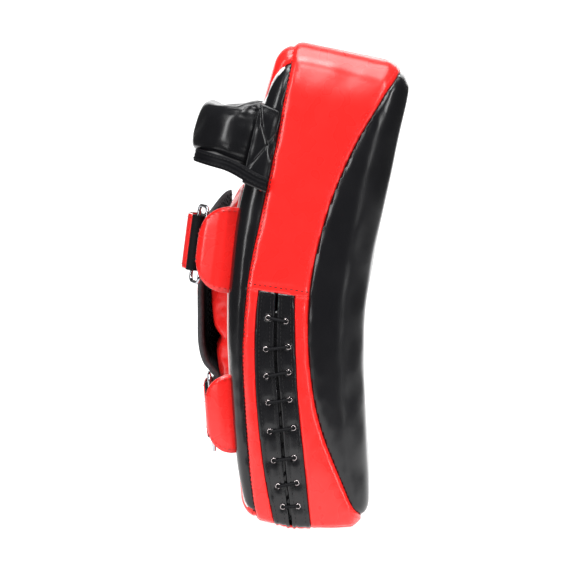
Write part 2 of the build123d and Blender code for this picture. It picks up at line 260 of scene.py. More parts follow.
# ---------------------------------------------------------------- pad body
HALF_WIDTH = 100.0
HALF_DEPTH = 57.0
HALF_LENGTH = 200.0
FRONT_LINE = [(-61.3, 0), (-60.3, 43.7), (-57.3, 97), (-56.3, 140), (-58.1, 178), (-64.9, 226),
              (-77.5, 289), (-88.6, 337.7), (-96.5, 378)]
BACK_LINE = [(45.5, 0), (51.8, 61.5), (56.2, 128), (57.2, 162), (56.2, 197), (52.0, 237),
             (45.5, 274), (29, 345), (13.5, 401)]
FRONT_SEAM = [(-97, 390), (-87.9, 377.3), (-69.1, 351.5), (-46.8, 315.2), (-27.3, 270.6), (-13.3, 220.4),
              (-8.2, 178), (-9.6, 132), (-18.4, 84), (-39.9, 30.3), (-54, 8.8), (-62, -4)]
BACK_SEAM = [(1, 412), (6.5, 380), (16.4, 321.5), (29.7, 256.7), (40.5, 205.7), (45.7, 150), (45, 111.7),
             (40, 42.9), (36, 12), (33, -8)]
CROSS_SEAM = [(-140, 171.2), (140, 213.2)]
LACING_REAR = [(30.4, 210), (34.9, 167.7), (34.3, 111.9), (28.2, 51.9), (17.5, -6)]
LACING_FRONT = [(2.3, 210), (2.3, 167.7), (0.2, 111.9), (-5.7, 51.9), (-11.4, -6)]
LACING_SPLIT = [(16.8, 210), (18.5, 150), (15.3, 107.7), (11.1, 51.9), (4.5, -6)]
SLOT_HALF = 0.9
BOTTOM_SEAM_Z = 1.6
LENS_EDGE = [(99, 396), (85, 365), (71, 315), (66, 200), (71, 70), (84, 26), (98, 4)]
CURVE_POINTS = 160
LEATHER = 1.3
CELL = 1.9


def box_grid(counts):
    """Vertices (whole-number grid positions) and quads on the surface of a box of cells."""
    corners = []
    for axis in range(3):
        u, v = [k for k in range(3) if k != axis]
        i, j = np.meshgrid(np.arange(counts[u]), np.arange(counts[v]), indexing="ij")
        for end in (0, counts[axis]):
            quad = np.zeros((i.size, 4, 3), int)
            quad[:, :, axis] = end
            for corner, (di, dj) in enumerate([(0, 0), (1, 0), (1, 1), (0, 1)]):
                quad[:, corner, u] = i.ravel() + di
                quad[:, corner, v] = j.ravel() + dj
            outward = (end > 0) == (axis != 1)
            corners.append(quad if outward else quad[:, ::-1])
    quads = np.vstack(corners)
    flat = quads.reshape(-1, 3)
    points, index = np.unique(flat, axis=0, return_inverse=True)
    return points, index.reshape(-1, 4)


def rounding(depth, length):
    """Edge radius at a place in the pad; depth 0 front to 1 back, length 0 bottom to 1 top."""
    waist = 27 + (17 - 27) * ramp(depth, 0.3, 0.7)
    bottom = 22 - 10 * ramp(depth, 0.0, 0.35) + 6 * ramp(depth, 0.7, 1.0)
    top = 24 - 3 * ramp(depth, 0.2, 0.8)
    mixed = bottom + (waist - bottom) * ramp(length, 0.02, 0.14)
    return mixed + (top - mixed) * ramp(length, 0.85, 0.97)


def pad_surface():
    """Base surface of the stuffed pad: straight rounded box, then bent between its two outlines."""
    counts = [int(2 * h / CELL) for h in (HALF_WIDTH, HALF_DEPTH, HALF_LENGTH)]
    grid, quads = box_grid(counts)
    half = np.array([HALF_WIDTH, HALF_DEPTH, HALF_LENGTH])
    place = (grid / np.array(counts) * 2 - 1) * half
    depth = (place[:, 1] / HALF_DEPTH + 1) / 2
    length = (place[:, 2] / HALF_LENGTH + 1) / 2
    radius = rounding(depth, length)[:, None]
    inner = np.clip(place, -(half - radius), half - radius)
    out = place - inner
    out /= np.maximum(np.linalg.norm(out, axis=1, keepdims=True), 1e-9)
    round_place = inner + out * radius
    x = round_place[:, 0]
    depth = (round_place[:, 1] / HALF_DEPTH + 1) / 2
    length = (round_place[:, 2] / HALF_LENGTH + 1) / 2
    edge = (x / HALF_WIDTH) ** 2
    depth = depth + edge * (1 - ramp(depth, 0.0, 0.5)) * 3.5 / (2 * HALF_DEPTH)
    x = x * (1 - 0.016 * (2 * depth - 1) ** 2) * (1 - 0.085 * ramp(length, 0.89, 1.03))
    front = smooth_curve(FRONT_LINE, 400)
    back = smooth_curve(BACK_LINE, 400)
    at = np.clip(length, 0, 1) * 399
    low = np.minimum(at.astype(int), 398)
    share = (at - low)[:, None]
    front_at = front[low] * (1 - share) + front[low + 1] * share
    back_at = back[low] * (1 - share) + back[low + 1] * share
    side = front_at * (1 - depth[:, None]) + back_at * depth[:, None]
    rise = 5.0 * ramp(side[:, 0], -2, 34) * (1 - ramp(side[:, 1], 4, 60))
    return np.column_stack([x, side[:, 0], side[:, 1] + rise]), quads


class Seams:
    """Signed distances from surface points to each seam."""

    def __init__(self):
        names = {"front": FRONT_SEAM, "back": BACK_SEAM, "cross": CROSS_SEAM, "lacing_rear": LACING_REAR,
                 "lacing_front": LACING_FRONT, "split": LACING_SPLIT, "lens": LENS_EDGE}
        self.curves = {key: smooth_curve(points, CURVE_POINTS) for key, points in names.items()}

    def distance(self, name, points):
        plane = np.column_stack([np.abs(points[:, 0]), points[:, 2]]) if name == "lens" else points[:, 1:]
        return line_distance(plane, self.curves[name])


SEAMS = Seams()


def sign_changes(values):
    """Places in a ring of values that hold a zero between one sign and the other."""
    size = len(values)
    solid = [k for k in range(size) if values[k] != 0.0 and not math.isnan(values[k])]
    if len(solid) < 2 or any(math.isnan(v) for v in values):
        return []
    found = []
    for a, b in zip(solid, solid[1:] + solid[:1]):
        if values[a] * values[b] < 0:
            found.append((a + 1) % size)
    return [k for k in found if values[k] == 0.0]


def cut_along(vertices, faces, field, snap=None):
    """Splits faces where the field changes sign, so that its zero line runs along edges."""
    values = field(vertices)
    if snap is not None:
        vertices = snap(vertices, values)
        values = np.where(np.abs(values) < CELL * 0.3, 0.0, values)
    bm = bmesh.new()
    handles = [bm.verts.new(v) for v in vertices]
    for face in faces:
        bm.faces.new([handles[i] for i in face])
    bm.verts.index_update()
    level = dict(zip(handles, values))
    for edge in list(bm.edges):
        a, b = edge.verts
        if level[a] * level[b] < 0:
            share = level[a] / (level[a] - level[b])
            _, middle = bmesh.utils.edge_split(edge, a, share)
            level[middle] = 0.0
    for face in list(bm.faces):
        crossings = sign_changes([level[v] for v in face.verts])
        if len(crossings) == 2:
            first, second = (face.verts[k] for k in crossings)
            bmesh.utils.face_split(face, first, second)
    bm.verts.index_update()
    vertices = np.array([v.co[:] for v in bm.verts])
    faces = [[v.index for v in f.verts] for f in bm.faces]
    bm.free()
    return vertices, faces


BOTTOM_SEAM = [(-90, BOTTOM_SEAM_Z), (-30, BOTTOM_SEAM_Z), (0, BOTTOM_SEAM_Z), (34, BOTTOM_SEAM_Z + 5),
               (70, BOTTOM_SEAM_Z + 9)]
SEAMS.curves["bottom"] = smooth_curve(BOTTOM_SEAM, CURVE_POINTS)
EYELETS_REAR = [(24.3, 174.7), (26.0, 149.0), (25.7, 127.0), (24.1, 105.3),
                (23.0, 81.8), (19.8, 57.9), (16.3, 36.9), (12.4, 20.0)]
EYELETS_FRONT = [(9.9, 171.7), (7.8, 150.9), (7.6, 130.3), (6.9, 107.9),
                 (3.7, 84.7), (3.1, 60.2), (1.0, 39.6), (0.0, 20.4)]
EYELET_CUT = 1.9
LACED_SIDE_X = -80


def wobble(points, size, seed, waves=7):
    """Smooth random field of about unit height, made of a few crossed waves."""
    draw = np.random.default_rng(seed)
    total = np.zeros(len(points))
    for _ in range(waves):
        direction = draw.normal(size=3)
        direction *= draw.uniform(0.6, 1.5) / np.linalg.norm(direction)
        total += np.sin(points @ direction * 2 * math.pi / size + draw.uniform(0, 6.3))
    return total / math.sqrt(waves)


def cut_seam(vertices, faces, name, region, shift=0.0):
    """Cuts the surface along one seam, inside a region given as a mask function."""
    def field(points):
        value = SEAMS.distance(name, points)[0] - shift
        return np.where(region(points), value, np.nan)

    def snap(points, values):
        if shift:
            return points
        close = np.abs(values) < CELL * 0.3
        _, near = SEAMS.distance(name, points[close])
        moved = points.copy()
        if name == "lens":
            moved[close, 0] = np.sign(points[close, 0]) * near[:, 0]
        else:
            moved[close, 1] = near[:, 0]
        moved[close, 2] = near[:, 1]
        return moved

    return cut_along(vertices, faces, field, snap)


def cut_pad(vertices, faces):
    whole = lambda p: np.ones(len(p), bool)
    on_back = lambda p: (p[:, 1] > 0) & (SEAMS.distance("back", p)[0] > -CELL * 2)
    gusset = lambda p: (SEAMS.distance("front", p)[0] > -CELL) & (SEAMS.distance("back", p)[0] < CELL)
    below = lambda p: gusset(p) & (SEAMS.distance("cross", p)[0] < 0.01)
    lacing = lambda p: below(p) & (p[:, 0] < LACED_SIDE_X)
    vertices, faces = cut_seam(vertices, faces, "front", whole)
    vertices, faces = cut_seam(vertices, faces, "back", whole)
    vertices, faces = cut_seam(vertices, faces, "lens", on_back)
    vertices, faces = cut_seam(vertices, faces, "cross", gusset)
    vertices, faces = cut_seam(vertices, faces, "bottom", below)
    vertices, faces = cut_seam(vertices, faces, "lacing_rear", lacing)
    vertices, faces = cut_seam(vertices, faces, "lacing_front", lacing)
    vertices, faces = cut_seam(vertices, faces, "split", lacing, SLOT_HALF)
    vertices, faces = cut_seam(vertices, faces, "split", lacing, -SLOT_HALF)
    return cut_along(vertices, faces, eyelet_field)


def eyelet_distance(points):
    nearest = np.full(len(points), np.inf)
    for y, z in EYELETS_REAR + EYELETS_FRONT:
        nearest = np.minimum(nearest, np.hypot(points[:, 1] - y, points[:, 2] - z))
    return nearest


def eyelet_field(points):
    """Distance to the rim of the nearest eyelet hole on the laced side, only close to one."""
    nearest = eyelet_distance(points)
    use = (points[:, 0] < LACED_SIDE_X) & (nearest < 9)
    return np.where(use, nearest - EYELET_CUT, np.nan)


def panel_names(centres):
    """Which panel each face belongs to; an empty name is a hole."""
    d = {key: SEAMS.distance(key, centres)[0] for key in SEAMS.curves}
    near = centres[:, 0] < 0
    names = np.full(len(centres), "gusset_upper", dtype=object)
    lower = d["cross"] < 0
    names[lower & ~near] = "gusset_lower_far"
    names[lower & near] = "gusset_front_near"
    names[lower & near & (d["lacing_rear"] > 0)] = "gusset_rear_near"
    strip = lower & near & (d["lacing_rear"] < 0) & (d["lacing_front"] > 0)
    names[strip & (d["split"] > SLOT_HALF)] = "lace_facing_rear"
    names[strip & (d["split"] < -SLOT_HALF)] = "lace_facing_front"
    names[strip & (np.abs(d["split"]) < SLOT_HALF)] = ""
    holes = eyelet_field(centres)
    names[strip & (np.nan_to_num(holes, nan=1.0) < 0)] = ""
    names[lower & (d["bottom"] < 0)] = "bottom_cap"
    back = d["back"] > 0
    names[back] = "back_center_panel"
    names[back & (d["lens"] > 0) & near] = "back_strip_near"
    names[back & (d["lens"] > 0) & ~near] = "back_strip_far"
    names[d["front"] < 0] = "front_cover"
    return names


def dip(value, depth, width):
    return -depth * np.exp(-(value / width) ** 2)


def band(value, low, high, soft=0.6):
    return ramp(value, low - soft, low + soft) * (1 - ramp(value, high - soft, high + soft))


def pad_relief(points):
    """Height of seams, hems, rolls and creases above the base surface."""
    d = {key: SEAMS.distance(key, points)[0] for key in SEAMS.curves}
    front, back, cross, lens = (d[key] for key in ("front", "back", "cross", "lens"))
    near = points[:, 0] < 0
    gusset = (front > -1) & (back < 1)
    height = dip(front, 0.9, 2.3)
    gusset_edge = 0.5 * band(front, 1.6, 4.0, 1.2) - 2.4 * np.exp(-front / 5)
    height += np.where(front < 0, -2.4 * np.exp(front / 9), gusset_edge)
    height += dip(front - 4.7, 0.25, 0.5)
    height += dip(back, 0.9, 2.3)
    height += np.where(back > 0, -1.8 * np.exp(-back / 7), -1.8 * np.exp(back / 4.5))
    height += np.where(back > 0, dip(lens, 1.6, 2.4) - 2.2 * np.exp(-np.abs(lens) / 9), 0)
    hem = np.where(cross > 0, 0.7 * band(cross, 0, 6.5, 0.5) + dip(cross - 4.4, 0.35, 0.5),
                   -0.3 + 0.65 * np.exp(-(cross / 0.8) ** 2))
    height += np.where(gusset & (np.abs(cross) < 30), hem * np.exp(-np.maximum(np.abs(cross) - 7, 0) / 3), 0)
    lower = gusset & (cross < 0)
    height += np.where(lower, dip(d["bottom"], 0.8, 1.5), 0)
    strip = lower & near & (d["lacing_rear"] < 0.01) & (d["lacing_front"] > -0.01)
    inside = np.minimum(-d["lacing_rear"], d["lacing_front"])
    edge = 0.8 * band(inside, 0.3, 3.0, 0.35) + dip(inside - 3.5, 0.45, 0.4)
    lips = 1.25 * np.exp(-((np.abs(d["split"]) - 2.2) / 1.1) ** 2) + dip(np.abs(d["split"]) - 4.3, 0.45, 0.5)
    swell = 0.5 * np.sin(np.clip((inside - 4) / 8, 0, 1) * math.pi)
    height += np.where(strip, edge + lips + swell + dip(inside, 0.6, 1.2), 0)
    beside = lower & near & ~strip
    outside = np.maximum(d["lacing_rear"], -d["lacing_front"])
    height += np.where(beside, dip(outside, 0.6, 1.2), 0)
    rim_gap = np.maximum(eyelet_distance(points) - 2, 0)
    height += np.where(strip, dip(rim_gap, 0.5, 3), 0)
    seam_gap = np.minimum(np.abs(front), np.abs(back))
    ripple = wobble(points, 11, 3) * np.exp(-(seam_gap / 9) ** 2) * 0.16
    creases = wobble(points, 34, 5) * 0.22 + wobble(points, 90, 7) * 0.45
    free = (1 - np.exp(-(seam_gap / 14) ** 2)) * np.where(beside, ramp(outside, 0, 8), ~strip)
    return height + ripple + creases * free


def surface_normals(vertices, faces):
    mesh = bpy.data.meshes.new("work")
    mesh.from_pydata(vertices.tolist(), [], [list(f) for f in faces])
    mesh.update()
    normals = np.zeros(len(vertices) * 3)
    mesh.vertices.foreach_get("normal", normals)
    bpy.data.meshes.remove(mesh)
    return normals.reshape(-1, 3)


def face_centres(vertices, faces):
    return np.array([vertices[f].mean(axis=0) for f in faces])


PANEL_MATERIALS = {
    "front_cover": BLACK, "gusset_upper": RED, "gusset_lower_far": RED, "gusset_front_near": RED,
    "gusset_rear_near": RED, "bottom_cap": RED, "back_center_panel": RED, "lace_facing_rear": BLACK,
    "lace_facing_front": BLACK, "back_strip_near": BLACK, "back_strip_far": BLACK,
}


def solidify(obj, thickness, offset=-1):
    modifier = obj.modifiers.new("thickness", "SOLIDIFY")
    modifier.thickness = thickness * MM
    modifier.offset = offset
    modifier.use_rim = True
    return modifier


def make_pad():
    vertices, faces = pad_surface()
    vertices, faces = cut_pad(vertices, faces)
    names = panel_names(face_centres(vertices, faces))
    vertices = vertices + surface_normals(vertices, faces) * pad_relief(vertices)[:, None]
    for name, material in PANEL_MATERIALS.items():
        chosen = [face for face, label in zip(faces, names) if label == name]
        used = np.unique(np.concatenate([np.array(f) for f in chosen]))
        renumber = {old: new for new, old in enumerate(used)}
        polygons = [[renumber[i] for i in face] for face in chosen]
        panel = new_object(f"skin_{name}", vertices[used], polygons, material)
        solidify(panel, LEATHER)
        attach(panel, "pad")
        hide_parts(name)
    return BVHTree.FromPolygons(vertices.tolist(), [list(f) for f in faces])


# ---------------------------------------------------------------- general shapes
def unit(vectors):
    return vectors / np.maximum(np.linalg.norm(vectors, axis=-1, keepdims=True), 1e-9)


def outward_of(line, side):
    """Directions square to a line and to the side direction of the strip that follows it."""
    return np.cross(np.tile(side, (len(line), 1)), unit(np.gradient(line, axis=0)))


def strip_section(thick, width, radius, across=8):
    """Closed outline, as (normal, side), of a flat strip with rounded edges."""
    outline = []
    high, wide = thick / 2 - radius, width / 2 - radius
    for normal, side, start in [(high, wide, 0), (-high, wide, 90), (-high, -wide, 180), (high, -wide, 270)]:
        for step in range(4):
            angle = math.radians(start + step * 30)
            outline.append((normal + radius * math.cos(angle), side + radius * math.sin(angle)))
        if start in (90, 270):
            sign = 1 if start == 90 else -1
            for step in range(1, across):
                outline.append((-sign * thick / 2, sign * wide * (1 - 2 * step / across)))
    return np.array(outline)


def round_section(radius, count=10, lobes=0, depth=0.0):
    angle = np.linspace(0, 2 * math.pi, count, endpoint=False)
    size = radius * (1 + depth * np.cos(lobes * angle))
    return np.column_stack([size * np.cos(angle), size * np.sin(angle)])


def carried_sides(tangent):
    """A side direction for each station that turns as little as possible."""
    sides = [unit(np.cross(tangent[0], (0.31, 0.2, 0.93)))]
    for direction in tangent[1:]:
        sides.append(unit(sides[-1] - direction * (sides[-1] @ direction)))
    return np.array(sides)


def sweep(path, section, side=None, width=None, height=None, twist=0.0, closed=False):
    """Vertices and faces of a (normal, side) section carried along a path.

    `side` fixes the side direction; `width` and `height` size the section at each station;
    `twist` turns it by that many radians per millimetre.
    """
    path = np.asarray(path, float)
    stations = len(path)
    if closed:
        tangent = unit(np.roll(path, -1, 0) - np.roll(path, 1, 0))
    else:
        tangent = unit(np.gradient(path, axis=0))
    sides = carried_sides(tangent) if side is None else np.tile(np.asarray(side, float), (stations, 1))
    sides = unit(sides - tangent * np.sum(sides * tangent, axis=1, keepdims=True))
    normal = np.cross(sides, tangent)
    width = np.ones(stations) if width is None else width
    height = np.ones(stations) if height is None else height
    along = distances_along(path)
    vertices = []
    for k in range(stations):
        c, s = math.cos(twist * along[k]), math.sin(twist * along[k])
        n = (section[:, 0] * c - section[:, 1] * s) * height[k]
        w = (section[:, 0] * s + section[:, 1] * c) * width[k]
        vertices.append(path[k] + n[:, None] * normal[k] + w[:, None] * sides[k])
    size = len(section)
    faces = []
    for k in range(stations if closed else stations - 1):
        low, high = k * size, (k + 1) % stations * size
        for j in range(size):
            following = (j + 1) % size
            faces.append((low + j, low + following, high + following, high + j))
    if not closed:
        faces.append(tuple(reversed(range(size))))
        faces.append(tuple(range((stations - 1) * size, stations * size)))
    return np.vstack(vertices), faces


def grid_quads(rows, columns):
    """Quads between the points of a grid that is held row by row."""
    return [(r * columns + k, (r + 1) * columns + k, (r + 1) * columns + k + 1, r * columns + k + 1)
            for r in range(rows - 1) for k in range(columns - 1)]


def joined(parts):
    """Several (vertices, faces) as one."""
    vertices, faces, start = [], [], 0
    for points, polygons in parts:
        vertices.append(points)
        faces += [[i + start for i in polygon] for polygon in polygons]
        start += len(points)
    return np.vstack(vertices), faces


def rounded_path(corners, radius, step=1.5):
    """Line through the corners with arcs of the given radius, in steps."""
    corners = [np.array(c, float) for c in corners]
    points = [corners[0]]
    for before, corner, after in zip(corners, corners[1:], corners[2:]):
        a, b = unit(before - corner), unit(after - corner)
        half = math.acos(np.clip(a @ b, -1, 1)) / 2
        leg = radius / math.tan(half)
        centre = corner + unit(a + b) * radius / math.sin(half)
        start, end = corner + a * leg - centre, corner + b * leg - centre
        span = math.acos(np.clip(start @ end / radius ** 2, -1, 1))
        for t in np.linspace(0, 1, 10):
            arc = (start * math.sin((1 - t) * span) + end * math.sin(t * span)) / math.sin(span)
            points.append(centre + arc)
    points.append(corners[-1])
    dense = np.array(points)
    return even_points(dense, max(int(distances_along(dense)[-1] / step), 3))


def piece(name, shape, material, body, slot, *nodes):
    """Mesh object that rides on a body, and stands for the CAD nodes given."""
    obj = new_object(name, shape[0], shape[1], material)
    if body is not None:
        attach(obj, body)
    if nodes:
        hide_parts(*nodes)
    return obj


# ---------------------------------------------------------------- more materials
def plain(name, colour, roughness, metallic=0.0, grain=0.0, scale=900.0):
    """Simple finish with a little colour and gloss variation, and a fine grain where asked."""
    material, tree, shader = node_material(name)
    coords = tree.nodes.new("ShaderNodeTexCoord").outputs["Object"]
    mottle = add_noise(tree, 120, 3, coords)
    add_mottle(tree, mottle, [c * 0.85 for c in colour], [min(c * 1.12, 1) for c in colour], shader)
    tree.links.new(map_range(tree, mottle, roughness * 0.85, roughness * 1.15), shader.inputs["Roughness"])
    shader.inputs["Metallic"].default_value = metallic
    if grain:
        bump = add_bump(tree, grain, 0.0004, add_noise(tree, scale, 2, coords))
        tree.links.new(bump.outputs["Normal"], shader.inputs["Normal"])
    return material


def woven(name, colour, roughness, pitch_mm):
    """Woven cloth: crossed fine waves raise the threads."""
    material, tree, shader = node_material(name)
    coords = tree.nodes.new("ShaderNodeTexCoord").outputs["Object"]
    heights = []
    for direction in ("Z", "DIAGONAL"):
        wave = tree.nodes.new("ShaderNodeTexWave")
        wave.bands_direction = direction
        wave.inputs["Scale"].default_value = 1000 / pitch_mm / 20 * (1 if direction == "Z" else 0.6)
        wave.inputs["Distortion"].default_value = 1.0
        tree.links.new(coords, wave.inputs["Vector"])
        heights.append(wave.outputs["Fac"])
    both = tree.nodes.new("ShaderNodeMath")
    both.operation = "MULTIPLY"
    tree.links.new(heights[0], both.inputs[0])
    tree.links.new(heights[1], both.inputs[1])
    bump = add_bump(tree, 0.4, 0.0003, both.outputs["Value"])
    tree.links.new(bump.outputs["Normal"], shader.inputs["Normal"])
    mottle = add_noise(tree, 300, 3, coords)
    add_mottle(tree, mottle, [c * 0.7 for c in colour], [c * 1.3 for c in colour], shader)
    shader.inputs["Roughness"].default_value = roughness
    shader.inputs["Specular IOR Level"].default_value = 0.1
    return material


WEBBING = woven("black_webbing", (0.006, 0.006, 0.007), 0.6, 1.6)
BINDING = woven("black_binding", (0.004, 0.004, 0.005), 0.5, 1.2)
MESH_CLOTH = woven("black_mesh", (0.060, 0.060, 0.064), 0.6, 0.8)
CORD = woven("lace_cord", (0.006, 0.006, 0.007), 0.55, 0.9)
BLACK_THREAD = plain("black_thread", (0.004, 0.004, 0.004), 0.9)
GREY_THREAD = plain("grey_thread", (0.09, 0.09, 0.09), 0.5)
RED_THREAD = plain("red_thread", (0.45, 0.006, 0.006), 0.5)
WHITE_EDGE = plain("white_edge", (0.80, 0.78, 0.77), 0.7, grain=0.2)
# Pale pink for the tabs' edge strips: the strips are the tabs' real cut edges, and their pink colour is a
# painted highlight along the outline.
PINK_HIGHLIGHT_EDGE = plain("pink_edge_painted_highlight", (0.85, 0.20, 0.20), 0.5)
PIPING = plain("white_piping", (0.78, 0.76, 0.76), 0.4)
CHROME = plain("chrome_wire", (0.50, 0.50, 0.53), 0.16, metallic=1.0)
# Nickel for the eyelets, with a pink tint in its colour that paints in a pinkish reflection of the red
# leather.
NICKEL_PAINTED_PINK_GLINT = plain("nickel_eyelet", (0.46, 0.41, 0.41), 0.22, metallic=1.0)
FOAM = plain("foam", (0.16, 0.16, 0.17), 0.95, grain=0.6, scale=1500.0)
BACKING = plain("cuff_spacer", (0.003, 0.003, 0.003), 0.9)
FUZZ = plain("hook_and_loop", (0.010, 0.010, 0.011), 0.9, grain=1.0, scale=1800.0)


# ---------------------------------------------------------------- placing on the pad
SIDE_RAY_X = 140
BACK_RAY_Y = 160


def cast(tree, origins, direction):
    """Where rays from the origins meet the surface, with its outward normals."""
    hits, normals = [], []
    for origin in origins:
        place, normal, _, _ = tree.ray_cast(Vector(origin), Vector(direction))
        if place is None:
            place, normal, _, _ = tree.find_nearest(Vector(origin))
        if normal.dot(Vector(direction)) > 0:
            normal = -normal
        hits.append(place[:])
        normals.append(normal[:])
    return np.array(hits), np.array(normals)


def on_side(line, near=True):
    """Points and normals on the pad's near or far side for (y, z) places."""
    sign = -1 if near else 1
    return cast(PAD_TREE, [(sign * SIDE_RAY_X, y, z) for y, z in line], (-sign, 0, 0))


def on_back(line):
    """Points and normals on the pad's back for (x, z) places."""
    return cast(PAD_TREE, [(x, BACK_RAY_Y, z) for x, z in line], (0, -1, 0))


def stitches(places, normals, length=2.9, pitch=4.2, radius=0.34, sink=0.1):
    """A run of separate stitches along a line on a surface."""
    both = np.column_stack([places, normals])
    both = even_points(both, max(int(distances_along(places)[-1] / pitch), 2), places)
    centre, up = both[:, :3], unit(both[:, 3:])
    run = unit(np.gradient(centre, axis=0))
    up = unit(up - run * np.sum(up * run, axis=1, keepdims=True))
    across = np.cross(run, up)
    along = np.array([-1, -0.86, -0.45, 0, 0.45, 0.86, 1]) * length / 2
    size = np.array([0.2, 0.75, 1, 1.05, 1, 0.75, 0.2]) * radius
    lift = -0.55 * radius * np.array([2.2, 1.0, 0.2, 0, 0.2, 1.0, 2.2]) + radius * 0.5 - sink
    angle = np.linspace(0, 2 * math.pi, 6, endpoint=False)
    parts = []
    for place, forward, normal, sideways in zip(centre, run, up, across):
        rings = []
        for step, thick, high in zip(along, size, lift):
            ring = place + forward * step + normal * high
            rings.append(ring + thick * (np.cos(angle)[:, None] * normal + np.sin(angle)[:, None] * sideways))
        parts.append((np.vstack(rings), tube_faces(len(along), 6)))
    return joined(parts)


def tube_faces(rings, size):
    faces = [(k * size + (j + 1) % size, k * size + j, (k + 1) * size + j, (k + 1) * size + (j + 1) % size)
             for k in range(rings - 1) for j in range(size)]
    faces.append(tuple(range(size)))
    faces.append(tuple(reversed(range((rings - 1) * size, rings * size))))
    return faces


def shifted(curve, amount):
    """A 2-D curve moved to its left by `amount`."""
    run = unit(np.gradient(np.asarray(curve, float), axis=0))
    return curve + amount * np.column_stack([-run[:, 1], run[:, 0]])


# ---------------------------------------------------------------- seams of the pad
def clipped(line, keep):
    return np.array([point for point in line if keep(point)])


def make_seam_stitches():
    distance = lambda name, point: line_distance(point[None], SEAMS.curves[name])[0][0]
    tall = lambda point: 9 < point[1] < 376
    in_gusset = lambda point: distance("front", point) > 2 and distance("back", point) < -2
    in_strip = lambda point: distance("cross", point) < -1.5 and point[1] > 7
    red = []
    black = []
    for near in (True, False):
        line = smooth_curve(shifted(SEAMS.curves["front"], 4.7), 500)
        red.append(stitches(*on_side(clipped(line, tall), near), radius=0.3, sink=0.15))
        line = smooth_curve(shifted(SEAMS.curves["back"], -1.7), 500)
        black.append(stitches(*on_side(clipped(line, tall), near), length=2.5, pitch=3.6))
        line = clipped(smooth_curve(shifted(SEAMS.curves["cross"], 4.4), 800), in_gusset)
        black.append(stitches(*on_side(line, near), length=2.6, pitch=3.9, radius=0.38))
    piece("side_stitches_red", joined(red), RED_THREAD, "pad", "red_leather")
    piece("side_stitches_black", joined(black), BLACK_THREAD, "pad", "black_leather")
    strip = []
    rows = (("lacing_rear", -3.6, 0.27), ("lacing_front", 3.6, 0.27),
            ("split", 4.4, 0.25), ("split", -4.4, 0.25))
    for name, shift, radius in rows:
        line = clipped(smooth_curve(shifted(SEAMS.curves[name], shift), 300), in_strip)
        strip.append(stitches(*on_side(line), length=2.4, pitch=3.3, radius=radius))
    piece("lacing_stitches", joined(strip), BLACK_THREAD, "pad", "black_leather")


def make_piping():
    for name, sign in (("piping_near", -1), ("piping_far", 1)):
        line = [(sign * x, z) for x, z in SEAMS.curves["lens"] if 7 < z < 393]
        places, normals = on_back(line)
        keep = line_distance(places[:, 1:], SEAMS.curves["back"])[0] > 1.5
        path = even_points((places + normals * 0.5)[keep], 220)
        shape = sweep(path, round_section(1.25, 10))
        piece(f"{name}_cord", shape, PIPING, "pad", "white_piping", name)


# ---------------------------------------------------------------- lacing
EYELET_PROFILE = [(1.3, -2.4), (1.3, 0.25), (1.45, 0.5), (1.8, 0.6), (2.15, 0.45), (2.35, 0.1), (2.2, -0.15),
                  (1.6, -0.25), (1.6, -2.4)]
LACE_RADIUS = 1.2
LACE_INSIDE_X = -96.3


def lathe(profile, centre, axis, count=24):
    """Ring from a closed profile of (radius, height) turned round an axis."""
    axis = unit(np.asarray(axis, float))
    first = unit(np.cross(axis, (0.1, 0.3, 0.95)))
    second = np.cross(axis, first)
    vertices = []
    for step in range(count):
        angle = 2 * math.pi * step / count
        outward = first * math.cos(angle) + second * math.sin(angle)
        vertices += [centre + outward * radius + axis * height for radius, height in profile]
    size = len(profile)
    faces = [(k * size + j, k * size + (j + 1) % size, (k + 1) % count * size + (j + 1) % size,
              (k + 1) % count * size + j) for k in range(count) for j in range(size)]
    return np.array(vertices), faces


def facing_place(y, z):
    """Skin place round an eyelet: the mean of the skin just outside its rim."""
    angles = np.linspace(0, 2 * math.pi, 8, endpoint=False)
    ring = [(y + 3.4 * math.cos(a), z + 3.4 * math.sin(a)) for a in angles]
    places, normals = on_side(ring)
    return places.mean(axis=0), unit(normals.mean(axis=0))


